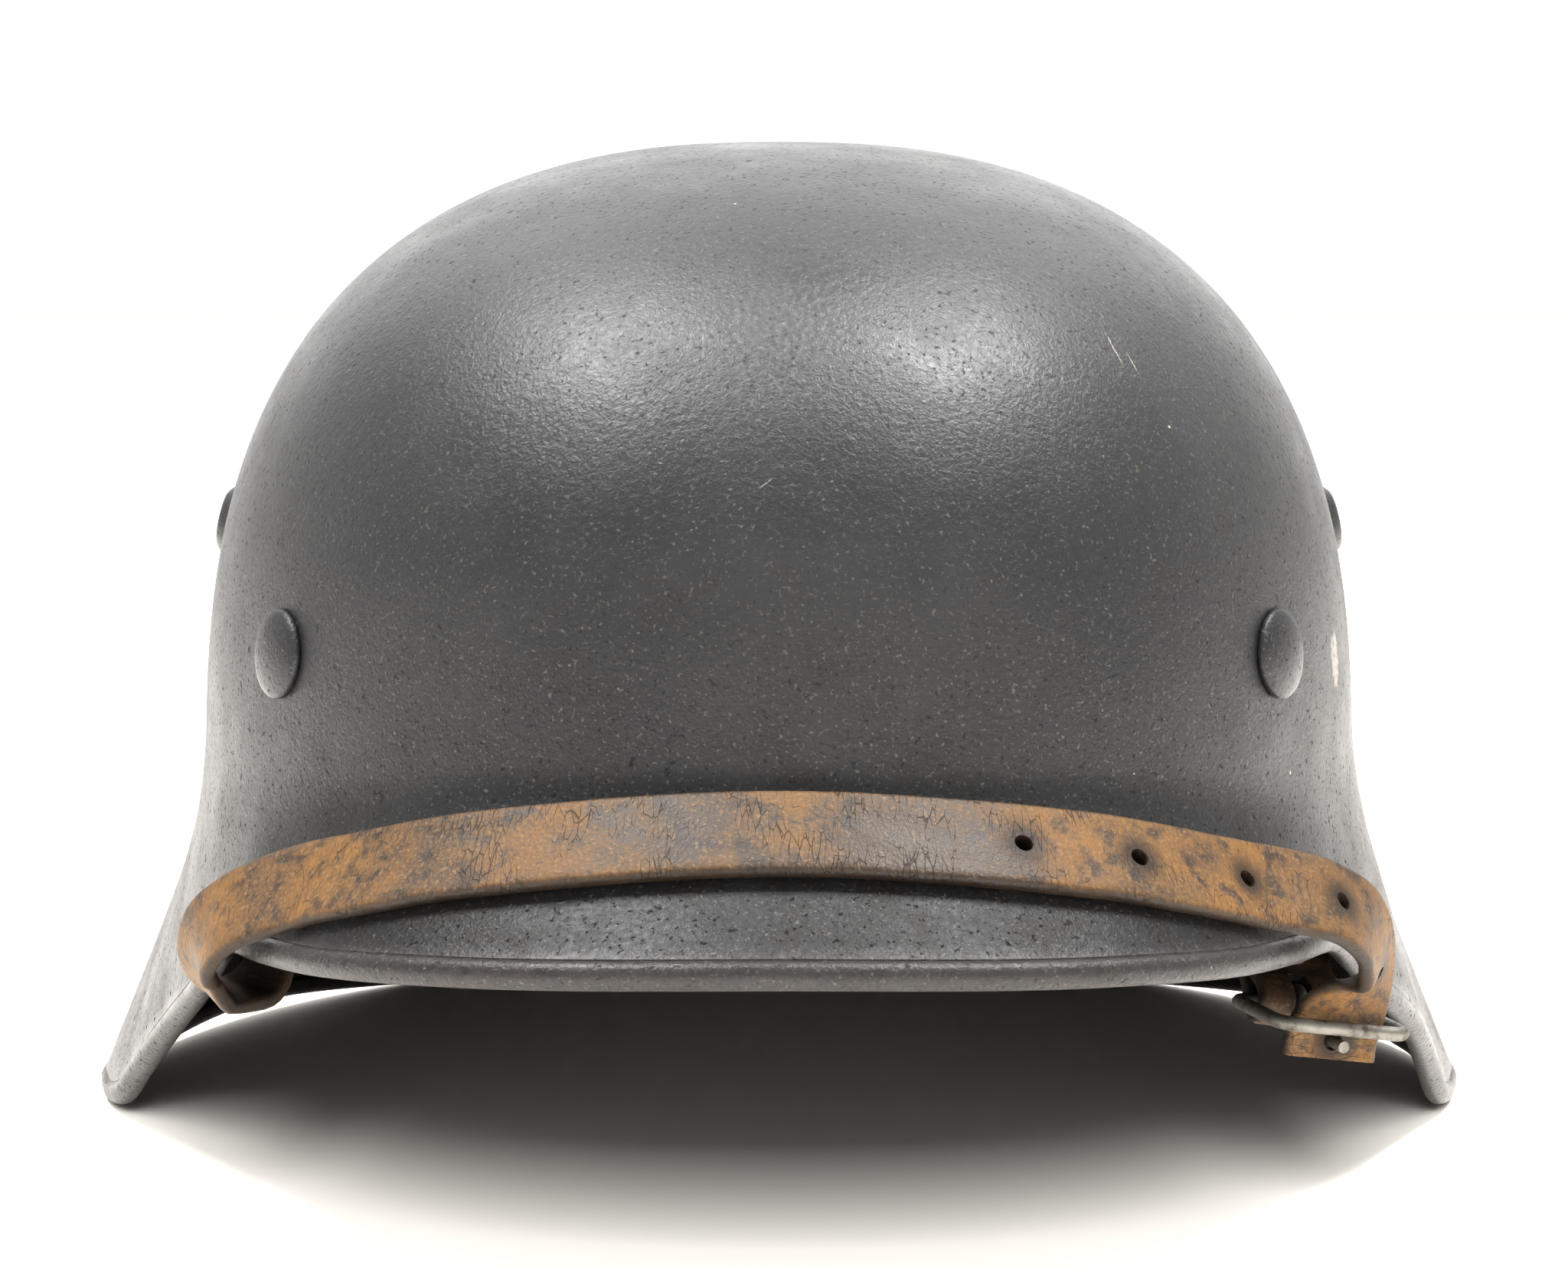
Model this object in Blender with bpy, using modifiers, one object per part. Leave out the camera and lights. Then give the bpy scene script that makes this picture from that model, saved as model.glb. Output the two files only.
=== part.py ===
"""A pressed steel helmet with a rolled rim, its liner band, rivets and a leather chin strap laid over the visor.

Metres, +Z up. The helmet stands on its rim at z = 0 and faces -Y. Left and right are as seen from the front.
An azimuth is measured round the helmet from the front, 0 at -Y and +90 at +X.
"""

import math

import bmesh
import bpy
from mathutils import Matrix, Vector

# Shell
SHEET = 0.0012  # steel thickness
DOME_WIDTH = 0.1902  # outside, where the wall stands upright
DOME_LENGTH = 0.2330
CROWN_HEIGHT = 0.1665  # top of the dome above the table
PLAN_POWER = 2.15  # the plan is a little squarer than an ellipse
FILLET = 0.0160  # from the corner, where the wall's line meets the flare's, to either end of the fillet
VISOR_REACH = 0.0237  # bead centre beyond the wall, at the front
FLARE_REACH = 0.0262  # the same, behind the ear
NECK_REACH = 0.0238  # the same, at the back
VISOR_LIFT = 0.0525  # bead centre of the visor above the bead centre that stands on the table
BEAD_RADIUS = 0.0023  # outside radius of the rolled edge
BEAD_START = math.radians(40)  # how far before its top the sheet runs into the bead
BEAD_END = math.radians(235)  # how far past its top the sheet ends, inside the roll
FOOT_HALF = math.radians(22.5)  # half the arc of the bead that is flat where it stands
SPRING = 0.0045  # the right flare's front edge is sprung outwards by this much
SPRING_AZIMUTH = 70
SPRING_HALF = 30

# Vents, stamped outwards
VENT_HEIGHT = 0.1030
VENT_AZIMUTH = 92
VENT_FOOT = 0.0072
VENT_LIP = 0.0042
VENT_RISE = 0.0025
VENT_HOLE = 0.0024

# Rivets, with a domed head outside and two prongs that are splayed inside the liner band
RIVET_AZIMUTH = 45.7
RIVET_HEIGHT = 0.0902
RIVET_HEAD = 0.0068
RIVET_DOME = 0.0024
RIVET_SHANK = 0.0020
PRONG_LENGTH = 0.0065
PRONG_WIDTH = 0.0034
PRONG_THICKNESS = 0.0008

# Liner band
BAND_WIDTH = 0.0180
BAND_THICKNESS = 0.0010
BAND_GAP = 0.0025  # between the band and the shell
LOOP_WIRE = 0.0010  # radius of the wire of the strap loops
LOOP_WIDTH = 0.0190
LOOP_DROP = 0.0110
LOOP_AZIMUTH = 64
LOOP_LEAN = math.radians(10)  # the loops hang inwards, clear of the wall
LOOP_SLANT = {-1: math.radians(40), 1: math.radians(25)}  # and slant forwards, the left and the right one
LOOP_LEG = 0.0040  # how far a loop's legs run up the band

# Leather
STRAP_WIDTH = 0.0150
STRAP_THICKNESS = 0.0024
SHORT_THICKNESS = 0.0020
HOLE_RADIUS = 0.0014
HOLES = (0, 0.0130, 0.0312, 0.0490, 0.0700, 0.0882)  # back along the strap from the tongue, punched by hand
TAIL = 0.0132  # how much of an end is folded back beyond the bar that it goes round
STUD_PLACE = 0.0092
STUD_HEAD = 0.0032
STUD_HEAD_THICKNESS = 0.0009
STUD_SHANK = 0.0012

# Buckle
WIRE = 0.0011  # radius
FRAME_WIDTH = 0.0210  # between wire centres
FRAME_DEPTH = 0.0180
FRAME_CORNER = 0.0026
FRAME_CENTRE = (0.8644, -0.6506, 0.2096)  # in the same shares as the tables of the straps
FRAME_TILT = math.radians(9)
FRAME_TURN = math.radians(17)  # its hinge lies further in
HINGE_CLIMB = math.radians(36)  # the short strap climbs back from the hinge
TONGUE_WIRE = 0.0009
SLOT_WIDTH = 0.0032

# Clearances
SEAT = 0.0004  # between pieces that touch
HOLE_PLAY = 0.0003  # round a shank

SHARP = math.radians(35)
MERGE = 0.000001

AROUND = 72  # sections round the shell
DOME_ROWS = 10
FILLET_ROWS = 4
CURVE_STEP = 0.0006
LEATHER_STEP = 0.0080  # between sections of a strap, at most
LEATHER_TURN = math.radians(14)  # the same, as a turn of its face

# One row for each section from the front to the back. The corner's height is a share of CROWN_HEIGHT and the
# fillet of FILLET. The reach of the bead centre beyond the wall is a share of VISOR_REACH, FLARE_REACH and
# NECK_REACH together, and its lift a share of VISOR_LIFT.
SECTIONS = [
    dict(azimuth=0, corner=0.4500, fillet=0.35, visor=1.00, flare=0.00, neck=0.00, lift=1.000),
    dict(azimuth=20, corner=0.4380, fillet=0.36, visor=0.88, flare=0.00, neck=0.00, lift=0.960),
    dict(azimuth=30, corner=0.4200, fillet=0.42, visor=0.73, flare=0.00, neck=0.00, lift=0.925),
    dict(azimuth=38, corner=0.4000, fillet=0.52, visor=0.54, flare=0.00, neck=0.00, lift=0.900),
    dict(azimuth=46, corner=0.3800, fillet=0.62, visor=0.33, flare=0.00, neck=0.00, lift=0.870),
    dict(azimuth=53, corner=0.3700, fillet=0.70, visor=0.17, flare=0.02, neck=0.00, lift=0.765),
    dict(azimuth=62, corner=0.3650, fillet=0.78, visor=0.06, flare=0.08, neck=0.00, lift=0.600),
    dict(azimuth=72, corner=0.3680, fillet=0.85, visor=0.01, flare=0.20, neck=0.00, lift=0.438),
    dict(azimuth=79, corner=0.3740, fillet=0.90, visor=0.00, flare=0.32, neck=0.00, lift=0.316),
    dict(azimuth=86, corner=0.3820, fillet=0.95, visor=0.00, flare=0.48, neck=0.00, lift=0.177),
    dict(azimuth=93, corner=0.3880, fillet=1.00, visor=0.00, flare=0.68, neck=0.00, lift=0.035),
    dict(azimuth=98, corner=0.3900, fillet=1.00, visor=0.00, flare=0.82, neck=0.00, lift=0.000),
    dict(azimuth=104, corner=0.3900, fillet=1.00, visor=0.00, flare=0.96, neck=0.00, lift=0.000),
    dict(azimuth=114, corner=0.3850, fillet=1.00, visor=0.00, flare=1.02, neck=0.00, lift=0.022),
    dict(azimuth=130, corner=0.3650, fillet=1.00, visor=0.00, flare=0.66, neck=0.40, lift=0.050),
    dict(azimuth=152, corner=0.3350, fillet=0.95, visor=0.00, flare=0.18, neck=0.84, lift=0.000),
    dict(azimuth=180, corner=0.3150, fillet=0.90, visor=0.00, flare=0.00, neck=1.00, lift=0.000),
]

# How round the dome's profile is: (radius share)^outward + (height share)^upward = 1 above the waist, whose
# height is a share of CROWN_HEIGHT.
ROUNDING = [
    dict(azimuth=0, waist=0.400, outward=2.25, upward=2.80),
    dict(azimuth=90, waist=0.340, outward=2.42, upward=2.85),
    dict(azimuth=180, waist=0.330, outward=2.10, upward=2.45),
]

VISOR_SHARE = 0.285  # of the visor's line, under the middle of the strap at the front
VISOR_DROOP = 0.36  # how much further down that line it is at DROOP_AZIMUTH
DROOP_AZIMUTH = 36
STRAP_LEAN = math.radians(4)  # the strap's upper edge stands off the curve where the visor meets the wall

# The straps' turns round the visor's ends, chosen by hand. Each has the strap's middle, in shares of half of
# DOME_WIDTH, half of DOME_LENGTH and CROWN_HEIGHT, and the direction of its outer face.
LEFT_TURN = [
    ((-0.8254, -0.5923, 0.2583), (0.75, 0.45, -0.45)),
    ((-0.8623, -0.6652, 0.2354), (-0.15, -0.10, -0.98)),
    ((-0.9001, -0.7082, 0.2492), (-0.80, -0.50, -0.33)),
    ((-0.9064, -0.7451, 0.2853), (-0.84, -0.52, 0.15)),
    ((-0.8675, -0.7940, 0.3183), (-0.70, -0.52, 0.50)),
]
RIGHT_TURN = [
    ((0.8728, -0.7983, 0.3315), (0.60, -0.55, 0.58)),
    ((0.9253, -0.7485, 0.3003), (0.86, -0.46, 0.25)),
    ((0.9390, -0.7193, 0.2673), (0.88, -0.46, 0.05)),
    ((0.9127, -0.7013, 0.2402), (0.66, -0.75, 0.00)),
    ((0.8906, -0.6944, 0.2174), (0.38, -0.93, 0.00)),
    ((0.8770, -0.6918, 0.2012), (0.24, -0.97, 0.00)),
    ((0.8707, -0.6918, 0.1784), (0.21, -0.98, 0.00)),
]
SHORT_MIDDLE = [
    ((0.8307, -0.4464, 0.3123), (0.66, -0.74, 0.15)),
]

STEEL_COLOUR = (0.075, 0.077, 0.080, 1)
BARE_STEEL_COLOUR = (0.42, 0.42, 0.40, 1)
LEATHER_COLOUR = (0.26, 0.13, 0.05, 1)


def smooth_read(table, column, at):
    """The column of a table at an azimuth: a smooth curve through its rows, level at both ends."""
    at = abs((at + 180) % 360 - 180)
    key = [row["azimuth"] for row in table]
    value = [row[column] for row in table]
    rise = [(value[i + 1] - value[i]) / (key[i + 1] - key[i]) for i in range(len(key) - 1)]
    slope = [0.0]
    for before, after in zip(rise, rise[1:]):
        slope.append(0.0 if before * after <= 0 else 2 * before * after / (before + after))
    slope.append(0.0)
    i = max(k for k in range(len(key) - 1) if key[k] <= at)
    step = key[i + 1] - key[i]
    t = (at - key[i]) / step
    return (
        value[i] * (1 + 2 * t) * (1 - t) ** 2
        + slope[i] * step * t * (1 - t) ** 2
        + value[i + 1] * t * t * (3 - 2 * t)
        + slope[i + 1] * step * t * t * (t - 1)
    )


def from_shares(shares):
    """A point from shares of half of DOME_WIDTH, half of DOME_LENGTH and CROWN_HEIGHT."""
    return Vector((shares[0] * DOME_WIDTH / 2, shares[1] * DOME_LENGTH / 2, shares[2] * CROWN_HEIGHT))


def hung(table):
    """Knots of a strap from a table's rows."""
    return [(from_shares(middle), Vector(face)) for middle, face in table]


def wall_radius(azimuth):
    """Outside radius of the dome where it is widest."""
    a = math.radians(azimuth)
    across = abs(math.sin(a) / (DOME_WIDTH / 2)) ** PLAN_POWER
    along = abs(math.cos(a) / (DOME_LENGTH / 2)) ** PLAN_POWER
    return (across + along) ** (-1 / PLAN_POWER)


def around(azimuth, radius, height):
    """A point at an azimuth, a distance from the helmet's upright axis and a height."""
    a = math.radians(azimuth)
    return Vector((radius * math.sin(a), -radius * math.cos(a), height))


def dome_radius(azimuth, height):
    """Outside radius of the dome at a height."""
    waist = CROWN_HEIGHT * smooth_read(ROUNDING, "waist", azimuth)
    share = min(1.0, max(0.0, (height - waist) / (CROWN_HEIGHT - waist)))
    inward = 1 - share ** smooth_read(ROUNDING, "upward", azimuth)
    return wall_radius(azimuth) * inward ** (1 / smooth_read(ROUNDING, "outward", azimuth))


def spring(azimuth):
    """How far the right flare's front edge stands out further than the left one's."""
    away = abs((azimuth + 180) % 360 - 180 - SPRING_AZIMUTH) / SPRING_HALF
    return SPRING * math.cos(away * math.pi / 2) ** 2 if away < 1 else 0.0


def bead_centre(azimuth):
    """(radius, height) of the centre of the rolled edge."""
    reach = (
        VISOR_REACH * smooth_read(SECTIONS, "visor", azimuth)
        + FLARE_REACH * smooth_read(SECTIONS, "flare", azimuth)
        + NECK_REACH * smooth_read(SECTIONS, "neck", azimuth)
    )
    foot = BEAD_RADIUS * math.cos(FOOT_HALF)
    height = foot + VISOR_LIFT * smooth_read(SECTIONS, "lift", azimuth)
    return Vector((wall_radius(azimuth) + reach + spring(azimuth), height))


def flare_line(azimuth):
    """The flare's or visor's straight line in its section: its corner, its bearing and its length to the bead."""
    height = CROWN_HEIGHT * smooth_read(SECTIONS, "corner", azimuth)
    corner = Vector((dome_radius(azimuth, height), height))
    to_centre = bead_centre(azimuth) - corner
    aside = math.asin(BEAD_RADIUS * math.cos(BEAD_START) / to_centre.length)
    bearing = math.atan2(to_centre.y, to_centre.x) + aside
    length = to_centre.length * math.cos(aside) - BEAD_RADIUS * math.sin(BEAD_START)
    return corner, bearing, length


def section(azimuth):
    """Outside face of the shell in one section, from next to the crown to the end of the roll."""
    corner, bearing, length = flare_line(azimuth)
    fillet = min(FILLET * smooth_read(SECTIONS, "fillet", azimuth), 0.8 * length)
    waist = CROWN_HEIGHT * smooth_read(ROUNDING, "waist", azimuth)
    upward = smooth_read(ROUNDING, "upward", azimuth)
    last_rise = (corner.y + fillet - waist) / (CROWN_HEIGHT - waist)
    last_turn = math.acos(max(0.0, last_rise) ** (upward / 2))
    points = []
    for row in range(1, DOME_ROWS + 1):
        rise = math.cos(last_turn * row / DOME_ROWS) ** (2 / upward)
        height = waist + (CROWN_HEIGHT - waist) * rise
        points.append(Vector((dome_radius(azimuth, height), height)))
    start = points[-1]
    along = Vector((math.cos(bearing), math.sin(bearing)))
    end = corner + along * fillet
    for row in range(1, FILLET_ROWS + 1):
        t = row / FILLET_ROWS
        points.append(start * (1 - t) ** 2 + corner * 2 * t * (1 - t) + end * t * t)
    points.append(corner + along * length)
    centre = bead_centre(azimuth)
    top = bearing + math.radians(90)
    foot = math.radians(-90)
    first, last = top + BEAD_START, top - BEAD_END
    turns = [first + (foot + FOOT_HALF - first) * k / 3 for k in (1, 2, 3)]
    turns += [foot - FOOT_HALF, (foot - FOOT_HALF + last) / 2, last]
    for turn in turns:
        points.append(centre + BEAD_RADIUS * Vector((math.cos(turn), math.sin(turn))))
    return points


def frame_at(origin, level, outward):
    """A frame whose x is about level and whose z is outward."""
    outward = outward.normalized()
    level = (level - outward * level.dot(outward)).normalized()
    return Matrix.Translation(origin) @ Matrix((level, outward.cross(level), outward)).transposed().to_4x4()


def surface_frame(azimuth, height, depth=0.0):
    """A frame on the dome, this deep under its outside: z outwards, x level."""
    turn, climb = 0.5, 0.0005
    here = around(azimuth, dome_radius(azimuth, height), height)
    beside = around(azimuth + turn, dome_radius(azimuth + turn, height), height)
    above = around(azimuth, dome_radius(azimuth, height + climb), height + climb)
    outward = (beside - here).cross(above - here).normalized()
    return frame_at(here - outward * depth, Vector((0, 0, 1)).cross(outward), outward)


def visor_frame(azimuth, share, rise):
    """A frame over the visor, at a share of its straight line: z up from its face, x along the visor."""
    corner, bearing, length = flare_line(azimuth)
    point = corner + length * share * Vector((math.cos(bearing), math.sin(bearing)))
    up = Vector((-math.sin(bearing), math.cos(bearing)))
    origin = around(azimuth, point.x + up.x * rise, point.y + up.y * rise)
    return frame_at(origin, around(azimuth + 90, 1, 0), around(azimuth, up.x, up.y))


def new_collection(name):
    collection = bpy.data.collections.new(name)
    bpy.context.scene.collection.children.link(collection)
    return collection


def material(name, colour, roughness, metallic):
    made = bpy.data.materials.new(name)
    made.use_nodes = True
    shader = made.node_tree.nodes["Principled BSDF"]
    shader.inputs["Base Color"].default_value = colour
    shader.inputs["Roughness"].default_value = roughness
    shader.inputs["Metallic"].default_value = metallic
    return made


def to_object(name, bm, collection, finish=None):
    """An object of what a bmesh holds, with its faces out and its round faces shaded smooth."""
    bmesh.ops.recalc_face_normals(bm, faces=bm.faces)
    mesh = bpy.data.meshes.new(name)
    bm.to_mesh(mesh)
    bm.free()
    mesh.shade_smooth()
    mesh.set_sharp_from_angle(angle=SHARP)
    obj = bpy.data.objects.new(name, mesh)
    collection.objects.link(obj)
    if finish:
        mesh.materials.append(finish)
    return obj


def loft(name, rings, collection, finish, crown=None, caps=False, closed=False):
    """Faces between rings of points. A crown closes the first ring to a point, caps close both ends flat, and a
    closed loft joins the last ring to the first."""
    bm = bmesh.new()
    rows = [[bm.verts.new(point) for point in ring] for ring in rings]
    count = len(rows[0])
    pairs = list(zip(rows, rows[1:]))
    if closed:
        pairs.append((rows[-1], rows[0]))
    for upper, lower in pairs:
        for i in range(count):
            j = (i + 1) % count
            bm.faces.new((upper[i], lower[i], lower[j], upper[j]))
    if crown:
        tip = bm.verts.new(crown)
        for i in range(count):
            bm.faces.new((tip, rows[0][i], rows[0][(i + 1) % count]))
    if caps:
        bm.faces.new(rows[0])
        bm.faces.new(reversed(rows[-1]))
    return to_object(name, bm, collection, finish)


def boolean(obj, others, operation):
    """Joins other shapes to an object or cuts them away. The shapes are left out of the part."""
    tool = others[0]
    bm = bmesh.new()
    for other in others:
        bm.from_mesh(other.data)
    bm.to_mesh(tool.data)
    bm.free()
    for other in others[1:]:
        bpy.data.objects.remove(other)
    tool.hide_render = True
    tool.display_type = "WIRE"
    step = obj.modifiers.new(tool.name, "BOOLEAN")
    step.object = tool
    step.operation = operation


def turned(name, profile, place, collection, finish=None, sides=20):
    """A shape turned about the z of its place, from a profile of (radius, height). A profile that doesn't start on
    the axis is closed to a ring."""
    bm = bmesh.new()
    points = [bm.verts.new(place @ Vector((radius, 0, height))) for radius, height in profile]
    edges = [bm.edges.new(pair) for pair in zip(points, points[1:])]
    if profile[0][0] > 0:
        edges.append(bm.edges.new((points[-1], points[0])))
    axis = place.to_3x3() @ Vector((0, 0, 1))
    bmesh.ops.spin(bm, geom=points + edges, cent=place.translation, axis=axis, angle=2 * math.pi, steps=sides)
    bmesh.ops.remove_doubles(bm, verts=bm.verts, dist=MERGE)
    return to_object(name, bm, collection, finish)


def cylinder(name, radius, low, high, place, collection, sides=16):
    """A cylinder along the z of its place, between two heights."""
    bm = bmesh.new()
    middle = place @ Matrix.Translation((0, 0, (low + high) / 2))
    bmesh.ops.create_cone(
        bm, cap_ends=True, segments=sides, radius1=radius, radius2=radius, depth=high - low, matrix=middle,
    )
    return to_object(name, bm, collection)


def wire(name, path, radius, collection, finish=None, closed=False):
    """A round wire along a path."""
    curve = bpy.data.curves.new(name, "CURVE")
    curve.dimensions = "3D"
    curve.bevel_depth = radius
    curve.bevel_resolution = 2
    curve.use_fill_caps = not closed
    run = curve.splines.new("POLY")
    run.points.add(len(path) - 1)
    for point, place in zip(run.points, path):
        point.co = (*place, 1)
    run.use_cyclic_u = closed
    run.use_smooth = True
    obj = bpy.data.objects.new(name, curve)
    collection.objects.link(obj)
    if finish:
        curve.materials.append(finish)
    return obj


def as_mesh(obj, collection):
    """A mesh object in place of a wire, with its caps welded on."""
    bpy.context.view_layer.update()
    mesh = bpy.data.meshes.new_from_object(obj.evaluated_get(bpy.context.evaluated_depsgraph_get()))
    bm = bmesh.new()
    bm.from_mesh(mesh)
    bmesh.ops.remove_doubles(bm, verts=bm.verts, dist=MERGE)
    made = to_object(obj.name + "_mesh", bm, collection)
    bpy.data.objects.remove(obj)
    bpy.data.meshes.remove(mesh)
    return made


def curve_through(knots):
    """Closely spaced (point, face normal) pairs along a smooth curve through such knots."""
    gap = [(after[0] - before[0]).length for before, after in zip(knots, knots[1:])]
    slopes = []
    for i in range(len(knots)):
        before, after = max(0, i - 1), min(len(gap) - 1, i)
        steps = [[(knots[k + 1][c] - knots[k][c]) / gap[k] for c in (0, 1)] for k in (before, after)]
        share = gap[before] / (gap[before] + gap[after])
        slopes.append([steps[0][c].lerp(steps[1][c], share) for c in (0, 1)])
    fine = []
    for i, step in enumerate(gap):
        count = math.ceil(step / CURVE_STEP)
        for k in range(count):
            t = k / count
            fine.append([
                knots[i][c] * (1 + 2 * t) * (1 - t) ** 2
                + slopes[i][c] * step * t * (1 - t) ** 2
                + knots[i + 1][c] * t * t * (3 - 2 * t)
                + slopes[i + 1][c] * step * t * t * (t - 1)
                for c in (0, 1)
            ])
    fine.append([Vector(knots[-1][0]), Vector(knots[-1][1])])
    return fine


def lengths_along(fine):
    """Distance along the curve to each of its points."""
    total = [0.0]
    for before, after in zip(fine, fine[1:]):
        total.append(total[-1] + (after[0] - before[0]).length)
    return total


def frame_along(fine, distance):
    """The strap's frame at a distance along its curve: z out of its face, x along it."""
    total = lengths_along(fine)
    i = max(k for k in range(len(fine) - 1) if total[k] <= distance)
    t = (distance - total[i]) / (total[i + 1] - total[i])
    point = fine[i][0].lerp(fine[i + 1][0], t)
    outward = fine[i][1].lerp(fine[i + 1][1], t)
    along = fine[i + 1][0] - fine[i][0]
    outward = outward - along * outward.dot(along) / along.length_squared
    return frame_at(point, along, outward)


def strap(name, fine, thickness, collection, finish):
    """A flat strap along its curve, with its long edges a little rounded."""
    half, edge = STRAP_WIDTH / 2, thickness / 2
    shape = [
        (half - edge * 0.5, edge), (half, edge * 0.4), (half, -edge * 0.4), (half - edge * 0.5, -edge),
        (-half + edge * 0.5, -edge), (-half, -edge * 0.4), (-half, edge * 0.4), (-half + edge * 0.5, edge),
    ]
    total = lengths_along(fine)
    stations = [0]
    for i in range(1, len(fine)):
        turn = fine[i][1].angle(fine[stations[-1]][1])
        if turn > LEATHER_TURN or total[i] - total[stations[-1]] > LEATHER_STEP or i == len(fine) - 1:
            stations.append(i)
    rings = []
    for i in stations:
        place = frame_along(fine, min(total[i], total[-1] * 0.999999))
        rings.append([place @ Vector((0, across, up)) for across, up in shape])
    return loft(name, rings, collection, finish, caps=True)


def bar_knots(place, bar_radius, thickness, face):
    """Knots of a strap end that is folded round a bar, from the folded-back end. The bar is the place's x and the
    strap leaves along its y, on the side of its z. The face is 1 where the strap's outer face looks away from
    the bar, and -1 where it looks to it."""
    around_bar = bar_radius + SEAT + thickness / 2
    flat = thickness / 2 + SEAT / 2
    outline = [(TAIL, -flat, -90), (STUD_PLACE, -flat, -90), (0.65 * STUD_PLACE, -flat, -90)]
    for turn in (-75, -115, -155, 165, 125, 75):
        a = math.radians(turn)
        outline.append((around_bar * math.cos(a), around_bar * math.sin(a), turn))
    outline += [(0.65 * STUD_PLACE, flat, 90), (STUD_PLACE, flat, 90), (1.15 * TAIL, flat, 90)]
    knots = []
    for out, up, turn in outline:
        a = math.radians(turn)
        normal = face * (place.to_3x3() @ Vector((0, math.cos(a), math.sin(a))))
        knots.append((place @ Vector((0, out, up)), normal))
    return knots


def stud(name, place, thickness, collection, finish):
    """A flat rivet through both layers of a folded strap end."""
    reach = thickness + SEAT / 2 + SEAT
    head = reach + STUD_HEAD_THICKNESS
    profile = [
        (0, head), (STUD_HEAD * 0.7, head), (STUD_HEAD, reach), (STUD_SHANK, reach),
        (STUD_SHANK, -reach), (STUD_HEAD, -reach), (STUD_HEAD * 0.7, -head), (0, -head),
    ]
    centre = place @ Matrix.Translation((0, STUD_PLACE, 0))
    return turned(name, profile, centre, collection, finish, sides=12)


def stud_hole(place, helpers):
    centre = place @ Matrix.Translation((0, STUD_PLACE, 0))
    return cylinder("stud_hole", STUD_SHANK + HOLE_PLAY, -2 * STRAP_THICKNESS, 2 * STRAP_THICKNESS, centre, helpers)


def loop_place(side):
    """The bar of a strap loop: x along the bar, y down the strap, z out to the wall."""
    height = RIVET_HEIGHT - BAND_WIDTH / 2
    band = surface_frame(side * LOOP_AZIMUTH, height, SHEET + BAND_GAP + BAND_THICKNESS / 2)
    outward = band.to_3x3() @ Vector((0, 0, 1))
    forward = (Vector((0, -1, 0)) + outward * outward.y).normalized()
    below = Vector((0, 0, -math.cos(LOOP_LEAN))) - outward * math.sin(LOOP_LEAN)
    down = (below * math.cos(LOOP_SLANT[side]) + forward * math.sin(LOOP_SLANT[side])).normalized()
    level = down.cross(outward).normalized()
    origin = band.translation + down * LOOP_DROP
    return Matrix.Translation(origin) @ Matrix((level, down, level.cross(down))).transposed().to_4x4()


def build_shell(collection, helpers, steel):
    azimuths = [360 * k / AROUND for k in range(AROUND)]
    sections = [section(azimuth) for azimuth in azimuths]
    rings = [
        [around(azimuth, points[row].x, points[row].y) for azimuth, points in zip(azimuths, sections)]
        for row in range(len(sections[0]))
    ]
    shell = loft("shell", rings, collection, steel, crown=Vector((0, 0, CROWN_HEIGHT)))
    wall = shell.modifiers.new("wall", "SOLIDIFY")
    wall.thickness = SHEET
    wall.offset = -1
    wall.use_even_offset = True
    reach = 3 * SHEET
    openings = [
        cylinder("rivet_hole", RIVET_SHANK + HOLE_PLAY, -reach, reach, surface_frame(azimuth, RIVET_HEIGHT), helpers)
        for azimuth in (-RIVET_AZIMUTH, RIVET_AZIMUTH, 180)
    ]
    stamped = [
        (VENT_HOLE, VENT_RISE), (VENT_LIP, VENT_RISE), (VENT_FOOT, -0.4 * SHEET), (VENT_FOOT, -0.75 * SHEET),
        (VENT_FOOT - 1.6 * SHEET, -0.75 * SHEET), (VENT_LIP - 0.5 * SHEET, VENT_RISE - SHEET),
        (VENT_HOLE, VENT_RISE - SHEET),
    ]
    bosses = []
    for azimuth in (-VENT_AZIMUTH, VENT_AZIMUTH):
        place = surface_frame(azimuth, VENT_HEIGHT)
        radius = VENT_FOOT - 1.2 * SHEET
        openings.append(cylinder("vent_opening", radius, -reach, reach, place, helpers, sides=20))
        bosses.append(turned("vent_boss", stamped, place, helpers))
    boolean(shell, openings, "DIFFERENCE")
    boolean(shell, bosses, "UNION")
    return shell


def build_rivet(name, azimuth, collection, helpers, finish):
    place = surface_frame(azimuth, RIVET_HEIGHT)
    band_face = SHEET + BAND_GAP + BAND_THICKNESS
    prong_top = -band_face - 1.5 * SEAT
    dome = [(RIVET_HEAD * math.sin(a), SEAT + 0.25 * RIVET_DOME + 0.75 * RIVET_DOME * math.cos(a))
            for a in (math.radians(d) for d in (25, 50, 72, 90))]
    profile = [(0, SEAT + RIVET_DOME), *dome, (RIVET_HEAD, SEAT), (RIVET_SHANK, SEAT)]
    profile += [(RIVET_SHANK, prong_top - PRONG_THICKNESS / 2), (0, prong_top - PRONG_THICKNESS / 2)]
    rivet = turned(name, profile, place, collection, finish, sides=16)
    middle = place @ Matrix.Translation((0, 0, prong_top - PRONG_THICKNESS / 2))
    bm = bmesh.new()
    size = Matrix.Diagonal((PRONG_WIDTH, 2 * PRONG_LENGTH, PRONG_THICKNESS, 1))
    bmesh.ops.create_cube(bm, size=1, matrix=middle @ size)
    boolean(rivet, [to_object("prongs", bm, helpers)], "UNION")
    return rivet


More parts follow.
